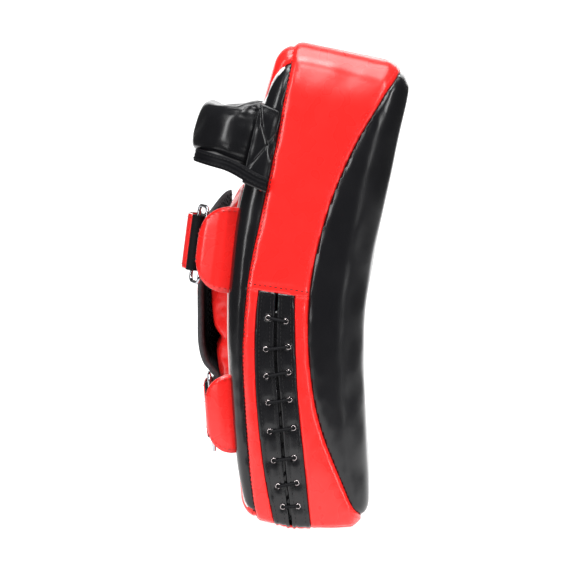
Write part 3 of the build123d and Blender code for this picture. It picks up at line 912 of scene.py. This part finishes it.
def make_lacing():
    for name, spots in (("eyelets_rear", EYELETS_REAR), ("eyelets_front", EYELETS_FRONT)):
        rings = [lathe(EYELET_PROFILE, *facing_place(y, z)) for y, z in spots]
        # Eyelet rings in nickel whose pink tint is a painted reflection of the red leather.
        piece(f"{name}_rings", joined(rings), NICKEL_PAINTED_PINK_GLINT, "pad", "nickel_eyelet", name)
    route = [(LACE_INSIDE_X, EYELETS_REAR[0][0] + 4, EYELETS_REAR[0][1] + 6)]
    for rear, front in zip(EYELETS_REAR, EYELETS_FRONT):
        start, end = facing_place(*rear)[0], facing_place(*front)[0]
        route.append((LACE_INSIDE_X, *rear))
        route.append(start + np.array([-1.5, -0.6, 0]))
        for share in (0.3, 0.5, 0.7):
            bar = start * (1 - share) + end * share
            bar[0] = on_side([bar[1:]])[0][0][0] - LACE_RADIUS - 0.35
            route.append(bar)
        route.append(end + np.array([-1.5, 0.6, 0]))
        route.append((LACE_INSIDE_X, *front))
    route.append((LACE_INSIDE_X, EYELETS_FRONT[-1][0] - 2, EYELETS_FRONT[-1][1] + 7))
    path = smooth_curve(route, 520)
    section = round_section(LACE_RADIUS, 12, lobes=3, depth=0.13)
    shape = sweep(path, section, twist=1.1)
    piece("lace_cord_run", shape, CORD, "pad", "lace_cord", "lace")
    rows = np.linspace(12, 180, 60)
    columns = np.linspace(0, 1, 14)
    rear = smooth_curve(LACING_REAR, 200)
    front = smooth_curve(LACING_FRONT, 200)
    grid = []
    for z in rows:
        high = np.interp(z, rear[::-1, 1], rear[::-1, 0]) - 3.2
        low = np.interp(z, front[::-1, 1], front[::-1, 0]) + 3.2
        for share in columns:
            wave = 0.35 * math.sin(z / 9 + share * 4) + 0.6 * math.sin(share * math.pi)
            grid.append((-94.6 - wave, low + (high - low) * share, z))
    shape = (np.array(grid), grid_quads(len(rows), len(columns)))
    tongue = piece("lace_tongue_skin", shape, BLACK, "pad", "black_leather", "lace_tongue")
    solidify(tongue, LEATHER, offset=0)


# ---------------------------------------------------------------- cloth inflation
CLOTH_FRAMES = 20


def inflate(obj, pinned, pressure, swell, cap_mm):
    """Blows a closed skin up as cloth, with some vertices pinned, and keeps it near its first shape."""
    rest = np.array([v.co for v in obj.data.vertices])
    group = obj.vertex_groups.new(name="held")
    for index, weight in enumerate(pinned):
        if weight > 0:
            group.add([index], float(weight), "REPLACE")
    modifier = obj.modifiers.new("cloth", "CLOTH")
    settings = modifier.settings
    settings.quality = 6
    settings.mass = 0.2
    settings.tension_stiffness = 12
    settings.compression_stiffness = 12
    settings.shear_stiffness = 6
    settings.bending_stiffness = 0.8
    settings.use_pressure = True
    settings.uniform_pressure_force = pressure
    settings.shrink_min = -swell
    settings.vertex_group_mass = "held"
    settings.pin_stiffness = 2
    settings.effector_weights.gravity = 0
    modifier.point_cache.frame_start = 1
    modifier.point_cache.frame_end = CLOTH_FRAMES
    scene = bpy.context.scene
    for frame_number in range(1, CLOTH_FRAMES + 1):
        scene.frame_set(frame_number)
    evaluated = obj.evaluated_get(bpy.context.evaluated_depsgraph_get())
    blown = np.array([v.co for v in evaluated.data.vertices])
    obj.modifiers.remove(modifier)
    scene.frame_set(1)
    move = blown - rest
    size = np.linalg.norm(move, axis=1, keepdims=True)
    move *= np.minimum(1, cap_mm * MM / np.maximum(size, 1e-9))
    obj.data.vertices.foreach_set("co", (rest + move).ravel())
    obj.data.update()


def subdivide(obj, levels=1):
    modifier = obj.modifiers.new("smooth", "SUBSURF")
    modifier.levels = levels
    modifier.render_levels = levels


# ---------------------------------------------------------------- frames on the back
def in_frame(points, origin, lean):
    """(x, n, t) places in a frame on the back as (x, y, z); n points out and t runs up it."""
    points = np.asarray(points, float)
    c, s = math.cos(math.radians(lean)), math.sin(math.radians(lean))
    x, n, t = points[:, 0], points[:, 1], points[:, 2]
    return np.column_stack([x, origin[0] + n * c - t * s, origin[1] + n * s + t * c])


def flat_path(path, t=0.0):
    return np.column_stack([path[:, 0], path[:, 1], np.full(len(path), t)])


# ---------------------------------------------------------------- grip
GRIP_ORIGIN = (37.0, 311.8)
GRIP_LEAN = 14.8
GRIP_X = 89.3
GRIP_N = 41.0
GRIP_BEND = 32.0
GRIP_HALF_DEPTH = 10.6
CREASE = [(0.7, -28.6), (1.6, 0), (2.6, 36.4)]
GUSSET_EDGE = [(-19.6, -31.8), (-16.5, 0), (-13.4, 33.8)]


def grip_shape():
    """Closed skin of the stuffed grip in its own frame, with weights for the sewn ends."""
    step = 2.6
    path = rounded_path([(-GRIP_X, -4), (-GRIP_X, GRIP_N), (GRIP_X, GRIP_N), (GRIP_X, -4)], GRIP_BEND, step)
    along = distances_along(path)
    ends = np.minimum(along, along[-1] - along)
    leg = ramp(ends, 3, 30)
    low = -19.5 + 5.0 * leg
    high = 37.0 - 11.0 * ramp(ends, 3, 45)
    depth = GRIP_HALF_DEPTH * (0.72 + 0.28 * ramp(ends, 0, 16)) + 1.2 * np.exp(-((ends - 20) / 12) ** 2)
    count = 52
    angle = np.linspace(0, 2 * math.pi, count, endpoint=False)
    power = 0.72
    cos, sin = np.cos(angle), np.sin(angle)
    section = np.column_stack([np.sign(cos) * np.abs(cos) ** power, np.sign(sin) * np.abs(sin) ** power])
    spine = np.column_stack([path, (low + high) / 2])
    tangent = unit(np.gradient(path, axis=0))
    outward = np.column_stack([-tangent[:, 1], tangent[:, 0]])
    vertices = []
    for k in range(len(path)):
        place = spine[k] + section[:, :1] * depth[k] * np.array([*outward[k], 0])
        place[:, 2] = spine[k, 2] + section[:, 1] * (high[k] - low[k]) / 2
        vertices.append(place)
    vertices = np.vstack(vertices)
    held = np.repeat(1 - ramp(ends, 4, 9), count)
    return vertices, tube_faces(len(path), count), held, np.repeat(ends, count)


def make_grip():
    vertices, faces, held, ends = grip_shape()
    pucker = np.sin(vertices[:, 2] * 1.15 + 0.6 * np.sin(vertices[:, 0] / 7))
    gather = np.exp(-(ends / 17) ** 2) * (1 - held)
    height = 0.75 * gather * pucker + 0.35 * wobble(vertices, 24, 21)
    fold = ramp(vertices[:, 2], 14, 30) * np.exp(-((ends - 16) / 14) ** 2)
    height += 0.6 * fold * np.sin(vertices[:, 1] / 2.6 + vertices[:, 2] / 5)
    vertices = vertices + surface_normals(vertices, faces) * height[:, None]
    shape = (in_frame(vertices, GRIP_ORIGIN, GRIP_LEAN), faces)
    grip = piece("grip_skin", shape, BLACK, None, "black_leather")
    inflate(grip, held, 3.0, 0.0, 1.8)
    subdivide(grip)
    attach(grip, "pad")
    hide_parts("handle_cover")


def flap_patch(near):
    """Leather flap between the grip's crease and the gusset seam, in the pad's side."""
    rows, columns = 46, 26
    crease = smooth_curve(CREASE, rows)
    edge = smooth_curve(GUSSET_EDGE, rows)
    places, height = [], []
    for r in range(rows):
        for k in range(columns):
            share = k / (columns - 1)
            n, w = edge[r] * (1 - share) + crease[r] * share
            places.append(in_frame([(0, n, w)], GRIP_ORIGIN, GRIP_LEAN)[0][1:])
            rim = min(share, 1 - share, r / (rows - 1) * 2, (1 - r / (rows - 1)) * 2)
            height.append(1.1 + 1.3 * ramp(rim, 0, 0.3))
    places, height = np.array(places), np.array(height)
    surface, _ = on_side(places, near)
    for start, end in X_LINES:
        height -= 1.1 * np.exp(-(segment_distance(places, start, end) / 1.3) ** 2)
    ripple = np.sin(places[:, 1] * 0.5 + places[:, 0] * 0.3) * 0.08
    size = -surface[:, 0] if near else surface[:, 0]
    x = np.maximum(size, 98.8) + height + ripple
    faces = [(a, d, c, b) for a, b, c, d in grid_quads(rows, columns)]
    if not near:
        faces = [tuple(reversed(f)) for f in faces]
    sign = -1 if near else 1
    return np.column_stack([sign * x, places]), faces


X_LINES = [((29.2, 330.5), (21.1, 302.0)), ((15.6, 325.3), (39.6, 296.5)), ((29.8, 346.0), (29.2, 330.5))]


def segment_distance(points, start, end):
    start, end = np.array(start), np.array(end)
    run = end - start
    t = np.clip((points - start) @ run / (run @ run), 0, 1)
    return np.linalg.norm(points - start - t[:, None] * run, axis=1)


def stitched_lines(tree, near, lines, material, name, pitch=3.6, length=2.6, radius=0.33):
    """Stitches along straight (y, z) lines on a piece at the near or far side."""
    sign = -1 if near else 1
    parts = []
    for start, end in lines:
        line = even_points(np.array([start, end], float), 40)
        places, normals = cast(tree, [(sign * SIDE_RAY_X, y, z) for y, z in line], (-sign, 0, 0))
        parts.append(stitches(places, normals, length, pitch, radius))
    return piece(name, joined(parts), material, "pad", "black_leather")


def frame_yz(n, w):
    return tuple(in_frame([(0, n, w)], GRIP_ORIGIN, GRIP_LEAN)[0][1:])


def make_flaps():
    for near, side in ((True, "near"), (False, "far")):
        vertices, faces = flap_patch(near)
        flap = piece(f"flap_{side}", (vertices, faces), BLACK, "pad", "black_leather", f"handle_flap_{side}")
        solidify(flap, 1.7)
        tree = BVHTree.FromPolygons(vertices.tolist(), [list(f) for f in faces])
        stitched_lines(tree, near, X_LINES, GREY_THREAD, f"flap_cross_{side}")
        edge = [(frame_yz(-2.0, -26), frame_yz(-0.6, 32)), (frame_yz(-15.6, -27), frame_yz(-10.6, 31))]
        stitched_lines(tree, near, edge, BLACK_THREAD, f"flap_edge_{side}")


BINDING_W = -17.5
BINDING_HALF = 5.3
THREAD_END = [(34.4, 282.2), (33.2, 280.6), (31.4, 279.0), (29.6, 277.2)]


def make_binding():
    """Folded binding strip along the grip's lower edge, carried on down both flaps."""
    corners = [(-103.4, -19.0), (-102.6, 4.0), (-101.0, 43.0), (101.0, 43.0), (102.6, 4.0), (103.4, -19.0)]
    path = rounded_path(corners, 30, 2.0)
    height = np.full(len(path), BINDING_W)
    drop = np.clip((20 - path[:, 1]) / 39, 0, 1)
    spine = np.column_stack([path, height - 7.5 * ramp(drop, 0, 1)])
    line = in_frame(spine, GRIP_ORIGIN, GRIP_LEAN)
    up = in_frame([(0, 0, 1)], (0, 0), GRIP_LEAN)[0]
    section = strip_section(2.6, 2 * BINDING_HALF, 0.9, across=10)
    section[:, 0] += 0.25 * np.cos(section[:, 1] * 2.1)
    shape = sweep(line, section, side=up)
    piece("grip_binding", shape, BINDING, "pad", "black_leather", "handle_binding")
    outward = outward_of(line, up)
    parts = []
    for lift in (3.2, -3.2):
        parts.append(stitches(line + outward * 1.45 + up * lift, outward, 2.3, 3.2, 0.24, sink=0.05))
    piece("binding_stitches", joined(parts), BLACK_THREAD, "pad", "black_leather")
    places, normals = on_side(smooth_curve(THREAD_END, 20))
    thread = sweep(places + normals * 1.6, round_section(0.4, 8))
    piece("thread_end", thread, RED_THREAD, "pad", "red_leather")


# ---------------------------------------------------------------- forearm cushion
CUSHION_HALF = 48.0
CUSHION_TOP = [(50, 78), (59, 90), (61, 112), (64.5, 138), (68.5, 172), (68.5, 202), (63.5, 235), (45.5, 279)]
CHANNELS = [152.0, 222.0]
CUSHION_LOW_Z = 78.0
CUSHION_HIGH_Z = 279.0
CUSHION_MID_Z = (CUSHION_LOW_Z + CUSHION_HIGH_Z) / 2
CUSHION_HALF_LENGTH = (CUSHION_HIGH_Z - CUSHION_LOW_Z) / 2


def make_cushion():
    step = 3.0
    xs = np.linspace(-CUSHION_HALF, CUSHION_HALF, int(2 * CUSHION_HALF / step))
    zs = np.linspace(CUSHION_LOW_Z, CUSHION_HIGH_Z, int(2 * CUSHION_HALF_LENGTH / step))
    top = smooth_curve(CUSHION_TOP, 200)
    grid = [(x, z) for z in zs for x in xs]
    base, _ = on_back(grid)
    x, z = np.array(grid).T
    full = np.maximum(np.interp(z, top[:, 1], top[:, 0]) - base[:, 1], 2.0)
    across = np.clip(1 - (np.abs(x) / CUSHION_HALF) ** 5, 0, 1) ** 0.5
    ends = np.clip(1 - (np.abs(z - CUSHION_MID_Z) / CUSHION_HALF_LENGTH) ** 7, 0, 1) ** 0.5
    height = full * across * ends
    for channel in CHANNELS:
        height -= np.minimum(height * 0.35, 4.0) * np.exp(-((z - channel) / 3.6) ** 2)
    columns, rows = len(xs), len(zs)
    place = lambda r, k: r * columns + k
    upper = np.column_stack([x, base[:, 1] + 0.9 + height, z])
    lower = np.column_stack([x, base[:, 1] + 0.5, z])
    faces = []
    total = rows * columns
    for quad in grid_quads(rows, columns):
        faces.append(quad)
        faces.append(tuple(i + total for i in reversed(quad)))
    rim = [place(0, k) for k in range(columns)] + [place(r, columns - 1) for r in range(1, rows)]
    rim += [place(rows - 1, k) for k in range(columns - 2, -1, -1)]
    rim += [place(r, 0) for r in range(rows - 2, 0, -1)]
    for a, b in zip(rim, rim[1:] + rim[:1]):
        faces.append((a, b, b + total, a + total))
    channel_gap = np.min([np.abs(z - c) for c in CHANNELS], axis=0)
    edge_gap = np.minimum(CUSHION_HALF - np.abs(x), CUSHION_HALF_LENGTH - np.abs(z - CUSHION_MID_Z))
    hold = np.maximum(1 - ramp(edge_gap, 0, 4), 1 - ramp(channel_gap, 1.5, 5))
    weights = np.concatenate([hold, np.ones(total)])
    gathers = 0.3 * np.sin(x * 0.9) * np.exp(-(channel_gap / 6) ** 2)
    upper[:, 1] += 0.5 * wobble(upper, 26, 31) * (1 - hold) + gathers
    shape = (np.vstack([upper, lower]), faces)
    cushion = piece("cushion_skin", shape, RED, None, "red_leather")
    inflate(cushion, weights, 4.0, 0.02, 3.0)
    subdivide(cushion)
    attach(cushion, "pad")
    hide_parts("forearm_cushion")
    flange = []
    for sign in (-1, 1):
        line = [(sign * (CUSHION_HALF + 0.6), z) for z in np.linspace(80, 277, 80)]
        places, normals = on_back(line)
        flange.append(sweep(places + normals * 1.5, strip_section(1.5, 2.6, 0.5, 4), side=(1, 0, 0)))
    piece("cushion_cut_edges", joined(flange), WHITE_EDGE, "pad", "red_leather")
    channels = []
    tree = BVHTree.FromPolygons(upper.tolist(), [list(f) for f in faces if max(f) < total])
    for channel in CHANNELS:
        line = np.column_stack([np.linspace(-44, 44, 40), np.full(40, channel)])
        places, normals = cast(tree, [(a, BACK_RAY_Y, b) for a, b in line], (0, -1, 0))
        channels.append(stitches(places, normals, 2.8, 4.0, 0.32, sink=0.0))
    piece("cushion_channel_stitches", joined(channels), RED_THREAD, "pad", "red_leather")


# ---------------------------------------------------------------- cuff
CUFF_TOP = [(66.6, 60), (68.1, 112), (73.5, 124), (79.5, 132), (83.0, 147), (83.4, 170), (83, 199), (79, 230),
            (75.5, 257), (73, 276)]
CUFF_NEAR_X = -34.0
CUFF_FAR_X = 62.0
CUFF_BEND = 13.0
CUFF_WALL = 26.0
CUFF_LOW_Z = 60.0
CUFF_CROWN_Z = 252.0
CUFF_FOOT_Z = 269.0
CUFF_FOOT_Y = 57.0
RIM_RADIUS = 2.2


def cuff_grid(inset, spacing, slant=False):
    """Places on the cuff's crown and far wall, set in from the outside, as rows along Z."""
    crown = smooth_curve(CUFF_TOP, 200)
    far_x = CUFF_FAR_X - inset
    run = rounded_path([(CUFF_NEAR_X, 0), (far_x, 0), (far_x, -CUFF_WALL)], CUFF_BEND - inset, 0.5)
    columns = int(distances_along(run)[-1] / spacing)
    rows = int((CUFF_FOOT_Z - CUFF_LOW_Z) / spacing)
    if slant:
        columns -= columns % 2
        rows -= rows % 2
    plan = even_points(run, columns + 1)
    places = []
    for r in range(rows + 1):
        share = r / rows
        for x, drop in plan:
            fall = np.clip(-drop / CUFF_WALL, 0, 1)
            top_z = CUFF_CROWN_Z + (CUFF_FOOT_Z - CUFF_CROWN_Z) * math.sin(fall * math.pi / 2)
            z = CUFF_LOW_Z + (top_z - CUFF_LOW_Z) * share
            height = np.interp(z, crown[:, 1], crown[:, 0]) - inset
            y = height + (CUFF_FOOT_Y - height) * fall
            places.append((x, y, z))
    return np.array(places), rows + 1, columns + 1


def cuff_skin(inset, spacing):
    places, rows, columns = cuff_grid(inset, spacing)
    return places, grid_quads(rows, columns)


def make_cuff():
    outer, faces = cuff_skin(0, 2.5)
    waves = 0.5 * wobble(outer, 40, 41) + 0.25 * wobble(outer, 14, 43)
    outer = outer + surface_normals(outer, faces) * waves[:, None]
    leather_skin = piece("cuff_leather", (outer, faces), RED, "pad", "red_leather", "cuff_outer")
    solidify(leather_skin, 1.4)
    inner, faces = cuff_skin(1.9, 4.0)
    backing = piece("cuff_backing", (inner, faces), BACKING, "pad", "black_mesh")
    solidify(backing, 0.8)
    places, rows, columns = cuff_grid(3.9, 2.3, slant=True)
    net = []
    for r in range(1, rows - 1):
        for k in range(1, columns - 1):
            if (r + k) % 2 == 0:
                centre = r * columns + k
                net.append((centre - 1, centre + columns, centre + 1, centre - columns))
    used = sorted({i for f in net for i in f})
    renumber = {old: new for new, old in enumerate(used)}
    net = [tuple(renumber[i] for i in f) for f in net]
    lining = piece("cuff_net", (places[used], net), MESH_CLOTH, "pad", "black_mesh", "cuff_mesh_lining")
    wires = lining.modifiers.new("threads", "WIREFRAME")
    wires.thickness = 1.3 * MM
    wires.use_boundary = True
    wires.use_even_offset = False
    places, rows, columns = cuff_grid(1.8, 2.0)
    grid = places.reshape(rows, columns, 3)
    rim = []
    for line in (grid[:, 0], grid[-1], grid[0]):
        rim.append(sweep(even_points(line, 90), round_section(RIM_RADIUS, 10)))
    piece("cuff_rim", joined(rim), MESH_CLOTH, "pad", "black_mesh")


# ---------------------------------------------------------------- straps, rings, tabs and tongues
SETS = {
    "upper": {"origin": (55.1, 228.0), "lean": 7.5, "tab_height": 70.0, "tab_bend": 24.0,
              "level": 25.2, "loop": 3.4, "near_bar_n": 22.9, "bow": 6.5},
    "lower": {"origin": (53.9, 93.2), "lean": -3.8, "tab_height": 64.6, "tab_bend": 20.0,
              "level": 14.0, "loop": 2.6, "near_bar_n": 17.2, "bow": 1.5},
}
STRAP_WIDTH = 46.0
STRAP_THICK = 1.6
RING_WIDTH = 18.0
RING_WIRE = 1.5
NEAR_BAR_X = -64.0
TAB_THICK = 3.0
TAB_ROOT_X = -76.0
TONGUE_BOW_LENGTH = 30.0
TONGUE_TIP = 9.0
TAIL_ROOT = 1.2
TAIL_CORNER_X = -26.0
PATCH_THICK = 1.2
PATCH_GAP = 0.15
NAP_GAP = 0.3


def set_places(data, path, t=0.0):
    return in_frame(flat_path(path, t), data["origin"], data["lean"])


def set_side(data):
    return in_frame([(0, 0, 1)], (0, 0), data["lean"])[0]


def tail_level(data):
    """Height of the tail's middle: over the strap, both patches and their gaps."""
    return data["level"] + STRAP_THICK * 1.5 + 2 * (PATCH_GAP + PATCH_THICK) + NAP_GAP


def webbing_section():
    section = strip_section(STRAP_THICK, STRAP_WIDTH, 0.5, across=60)
    wave = 0.10 * np.sin(section[:, 1] * 2 * math.pi / 2.3)
    section[:, 0] += np.where(np.abs(section[:, 1]) < STRAP_WIDTH / 2 - 1, np.sign(section[:, 0]) * wave, 0)
    return section


def make_strap(name, data, side):
    """Webbing that comes up from under the cuff and folds back round the ring; returns the fold's end."""
    level, loop = data["level"], data["loop"]
    fold_n = level + STRAP_THICK + loop
    bar_rise = fold_n - data["near_bar_n"]
    fold_x = NEAR_BAR_X + math.sqrt(RING_WIDTH ** 2 - bar_rise ** 2) + 0.3
    low = level + STRAP_THICK / 2
    high = fold_n + loop + STRAP_THICK / 2
    bend = (high - low) / 2
    end = (fold_x + 1.0, high)
    turn = np.radians(np.linspace(-90, -270, 14))
    arc = np.column_stack([fold_x + bend * np.cos(turn), fold_n + bend * np.sin(turn)])
    path = np.vstack([even_points(np.array([(8, low), (fold_x, low)]), 34), arc[1:], [end]])
    strap = sweep(set_places(data, path), webbing_section(), side=side)
    piece(f"{name}_strap_web", strap, WEBBING, "pad", "black_webbing", f"{name}_strap")
    return end


def make_tail(name, data, side, start):
    """Strap beyond the fold, bending between the pad and the peeling tongue."""
    stub_x, high = start
    root_x = stub_x + TAIL_ROOT
    tail = rounded_path([(root_x, high), (TAIL_CORNER_X, tail_level(data)), (14, tail_level(data))], 12, 1.5)
    tail = np.vstack([np.column_stack([np.linspace(stub_x, root_x, 7)[:-1], np.full(6, high)]), tail])
    shape = sweep(set_places(data, tail), webbing_section(), side=side)
    web = piece(f"{name}_tail_web", shape, WEBBING, None, "black_webbing")
    start, end = set_places(data, np.array([(stub_x, high), (root_x + 3.0, high)]))
    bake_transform(web)
    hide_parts(f"{name}_strap_tail")


def make_patches(name, data, side):
    base = data["level"] + STRAP_THICK + PATCH_GAP
    patches = (("loop", base, "pad"), ("hook", base + PATCH_THICK + NAP_GAP, f"{name}_tongue"))
    for kind, low, body in patches:
        middle = low + PATCH_THICK / 2
        line = set_places(data, even_points(np.array([(-24, middle), (5, middle)]), 16))
        patch = sweep(line, strip_section(PATCH_THICK, STRAP_WIDTH - 2, 0.4, across=16), side=side)
        piece(f"{name}_{kind}_nap", patch, FUZZ, body, "black_webbing", f"{name}_{kind}_patch")


def make_tongue(name, data, side, start):
    """Leather pull on the tail, bowed off it at the root, with a rounded tip."""
    root_x, high = start[0] + TAIL_ROOT, start[1]
    tail_n = tail_level(data)
    lift = STRAP_THICK / 2 + 0.15 + 0.7
    slope = (high - tail_n) / (TAIL_CORNER_X - root_x)
    first = (root_x + 3.5, high + lift - slope * 3.5)
    tongue = rounded_path([first, (TAIL_CORNER_X, tail_n + lift), (18, tail_n + lift)], 12, 1.2)
    reach = np.clip((tongue[:, 0] - first[0]) / TONGUE_BOW_LENGTH, 0, 1)
    tongue[:, 1] += data["bow"] * np.sin(reach * math.pi)
    along = distances_along(tongue)
    short = np.maximum(TONGUE_TIP - (along[-1] - along), 0)
    half = STRAP_WIDTH / 2 - TONGUE_TIP + np.sqrt(TONGUE_TIP ** 2 - short ** 2)
    line = set_places(data, tongue)
    body = f"{name}_tongue"
    shape = sweep(line, strip_section(1.4, 2.0, 0.45, across=16), side=side, width=half)
    piece(f"{name}_tongue_leather", shape, RED, body, "red_leather", body)
    outward = outward_of(line, side)
    rows = []
    for sign in (-1, 1):
        edge = line + outward * 0.72 + side * (sign * (half - 3.2))[:, None]
        rows.append(stitches(edge[2:-8], outward[2:-8], 2.6, 3.8, 0.27, sink=0.02))
    piece(f"{name}_tongue_stitches", joined(rows), RED_THREAD, body, "red_leather")
    rims = edge_strips(line, side, half, strip_section(1.05, 0.8, 0.3, 3))
    piece(f"{name}_tongue_cut_edges", joined(rims), WHITE_EDGE, body, "red_leather")


def edge_strips(line, side, half, section):
    """Thin strips along both edges of a band of the given half widths."""
    return [sweep(line + side * (sign * half)[:, None], section, side=side) for sign in (-1, 1)]


def make_tab(name, data, side):
    """Leather tab that stands off the pad's edge and folds round the ring's near bar."""
    height, bend, near_n = data["tab_height"], data["tab_bend"], data["near_bar_n"]
    hole = RING_WIRE + 0.45
    top_n = near_n + hole + TAB_THICK
    middle = hole + TAB_THICK / 2
    corners = [(TAB_ROOT_X, -3.0), (TAB_ROOT_X - 2.8, top_n * 0.4), (TAB_ROOT_X + 1.5, top_n - 1.6),
               (NEAR_BAR_X, near_n + middle)]
    route = list(rounded_path(corners, 7, 1.0))
    for angle in range(75, -215, -12):
        turn = math.radians(angle)
        route.append(np.array([NEAR_BAR_X + middle * math.cos(turn), near_n + middle * math.sin(turn)]))
    path = even_points(np.array(route), 90)
    level = path[:, 1] + TAB_THICK / 2
    before_top = np.arange(len(path)) < np.argmax(level)
    rise = np.clip(np.where(before_top, level, top_n) - (top_n - bend), 0, bend)
    half = np.maximum(height / 2 - bend + np.sqrt(np.maximum(bend ** 2 - rise ** 2, 0)), 8)
    section = strip_section(TAB_THICK, 2.0, 0.9, across=26)
    section[:, 1] = np.clip(section[:, 1], -1, 1)
    line = set_places(data, path)
    shape = sweep(line, section, side=side, width=half)
    piece(f"{name}_tab_leather", shape, RED, "pad", "red_leather", f"{name}_tab")
    outward = outward_of(line, side)
    peak = int(np.argmax(path[:, 1]))
    seen = slice(6, peak)
    rows = []
    for sign in (-1, 1):
        edge = line[seen] + outward[seen] * (TAB_THICK / 2) + side * (sign * (half[seen] - 3.0))[:, None]
        rows.append(stitches(edge, outward[seen], 2.6, 3.9, 0.3, sink=0.05))
    piece(f"{name}_tab_stitches", joined(rows), RED_THREAD, "pad", "red_leather")
    # Edge strips along the tab's outline, coloured pale pink as a painted highlight.
    rims = edge_strips(line[:peak + 6], side, half[:peak + 6], strip_section(1.2, 0.5, 0.2, 3))
    piece(f"{name}_tab_edges_painted_highlight", joined(rims), PINK_HIGHLIGHT_EDGE, "pad", "red_leather")


def make_strap_set(name, data):
    side = set_side(data)
    fold_end = make_strap(name, data, side)
    make_tail(name, data, side, fold_end)
    make_patches(name, data, side)
    make_tongue(name, data, side, fold_end)
    make_tab(name, data, side)


# ---------------------------------------------------------------- hidden fillings and carried nodes
def make_fillings():
    """Foam inside the skin: the CAD layers drawn in a little, so that they stay under its seams."""
    draw_in = {"foam_strike_layer": 9.0, "foam_middle_layer": 9.0, "foam_firm_layer": 9.0, "handle_core": 2.6}
    for name, amount in draw_in.items():
        bm = bmesh.new()
        bm.from_mesh(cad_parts[name].data)
        bmesh.ops.remove_doubles(bm, verts=bm.verts, dist=0.00002)
        bm.normal_update()
        for vertex in bm.verts:
            vertex.co -= vertex.normal * amount * MM
        mesh = bpy.data.meshes.new(f"{name}_filling")
        bm.to_mesh(mesh)
        bm.free()
        mesh.materials.append(FOAM)
        filling = bpy.data.objects.new(f"{name}_filling", mesh)
        bpy.context.collection.objects.link(filling)
        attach(filling, "pad")
        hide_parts(name)


def finish_rings():
    for name in ("upper_ring", "lower_ring"):
        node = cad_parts[name]
        node.data.materials.clear()
        node.data.materials.append(CHROME)


make_camera()
make_studio()
make_floor()
PAD_TREE = make_pad()
make_seam_stitches()
make_piping()
make_lacing()
make_grip()
make_flaps()
make_binding()
make_cushion()
make_cuff()
for set_name, set_data in SETS.items():
    make_strap_set(set_name, set_data)
make_fillings()
finish_rings()
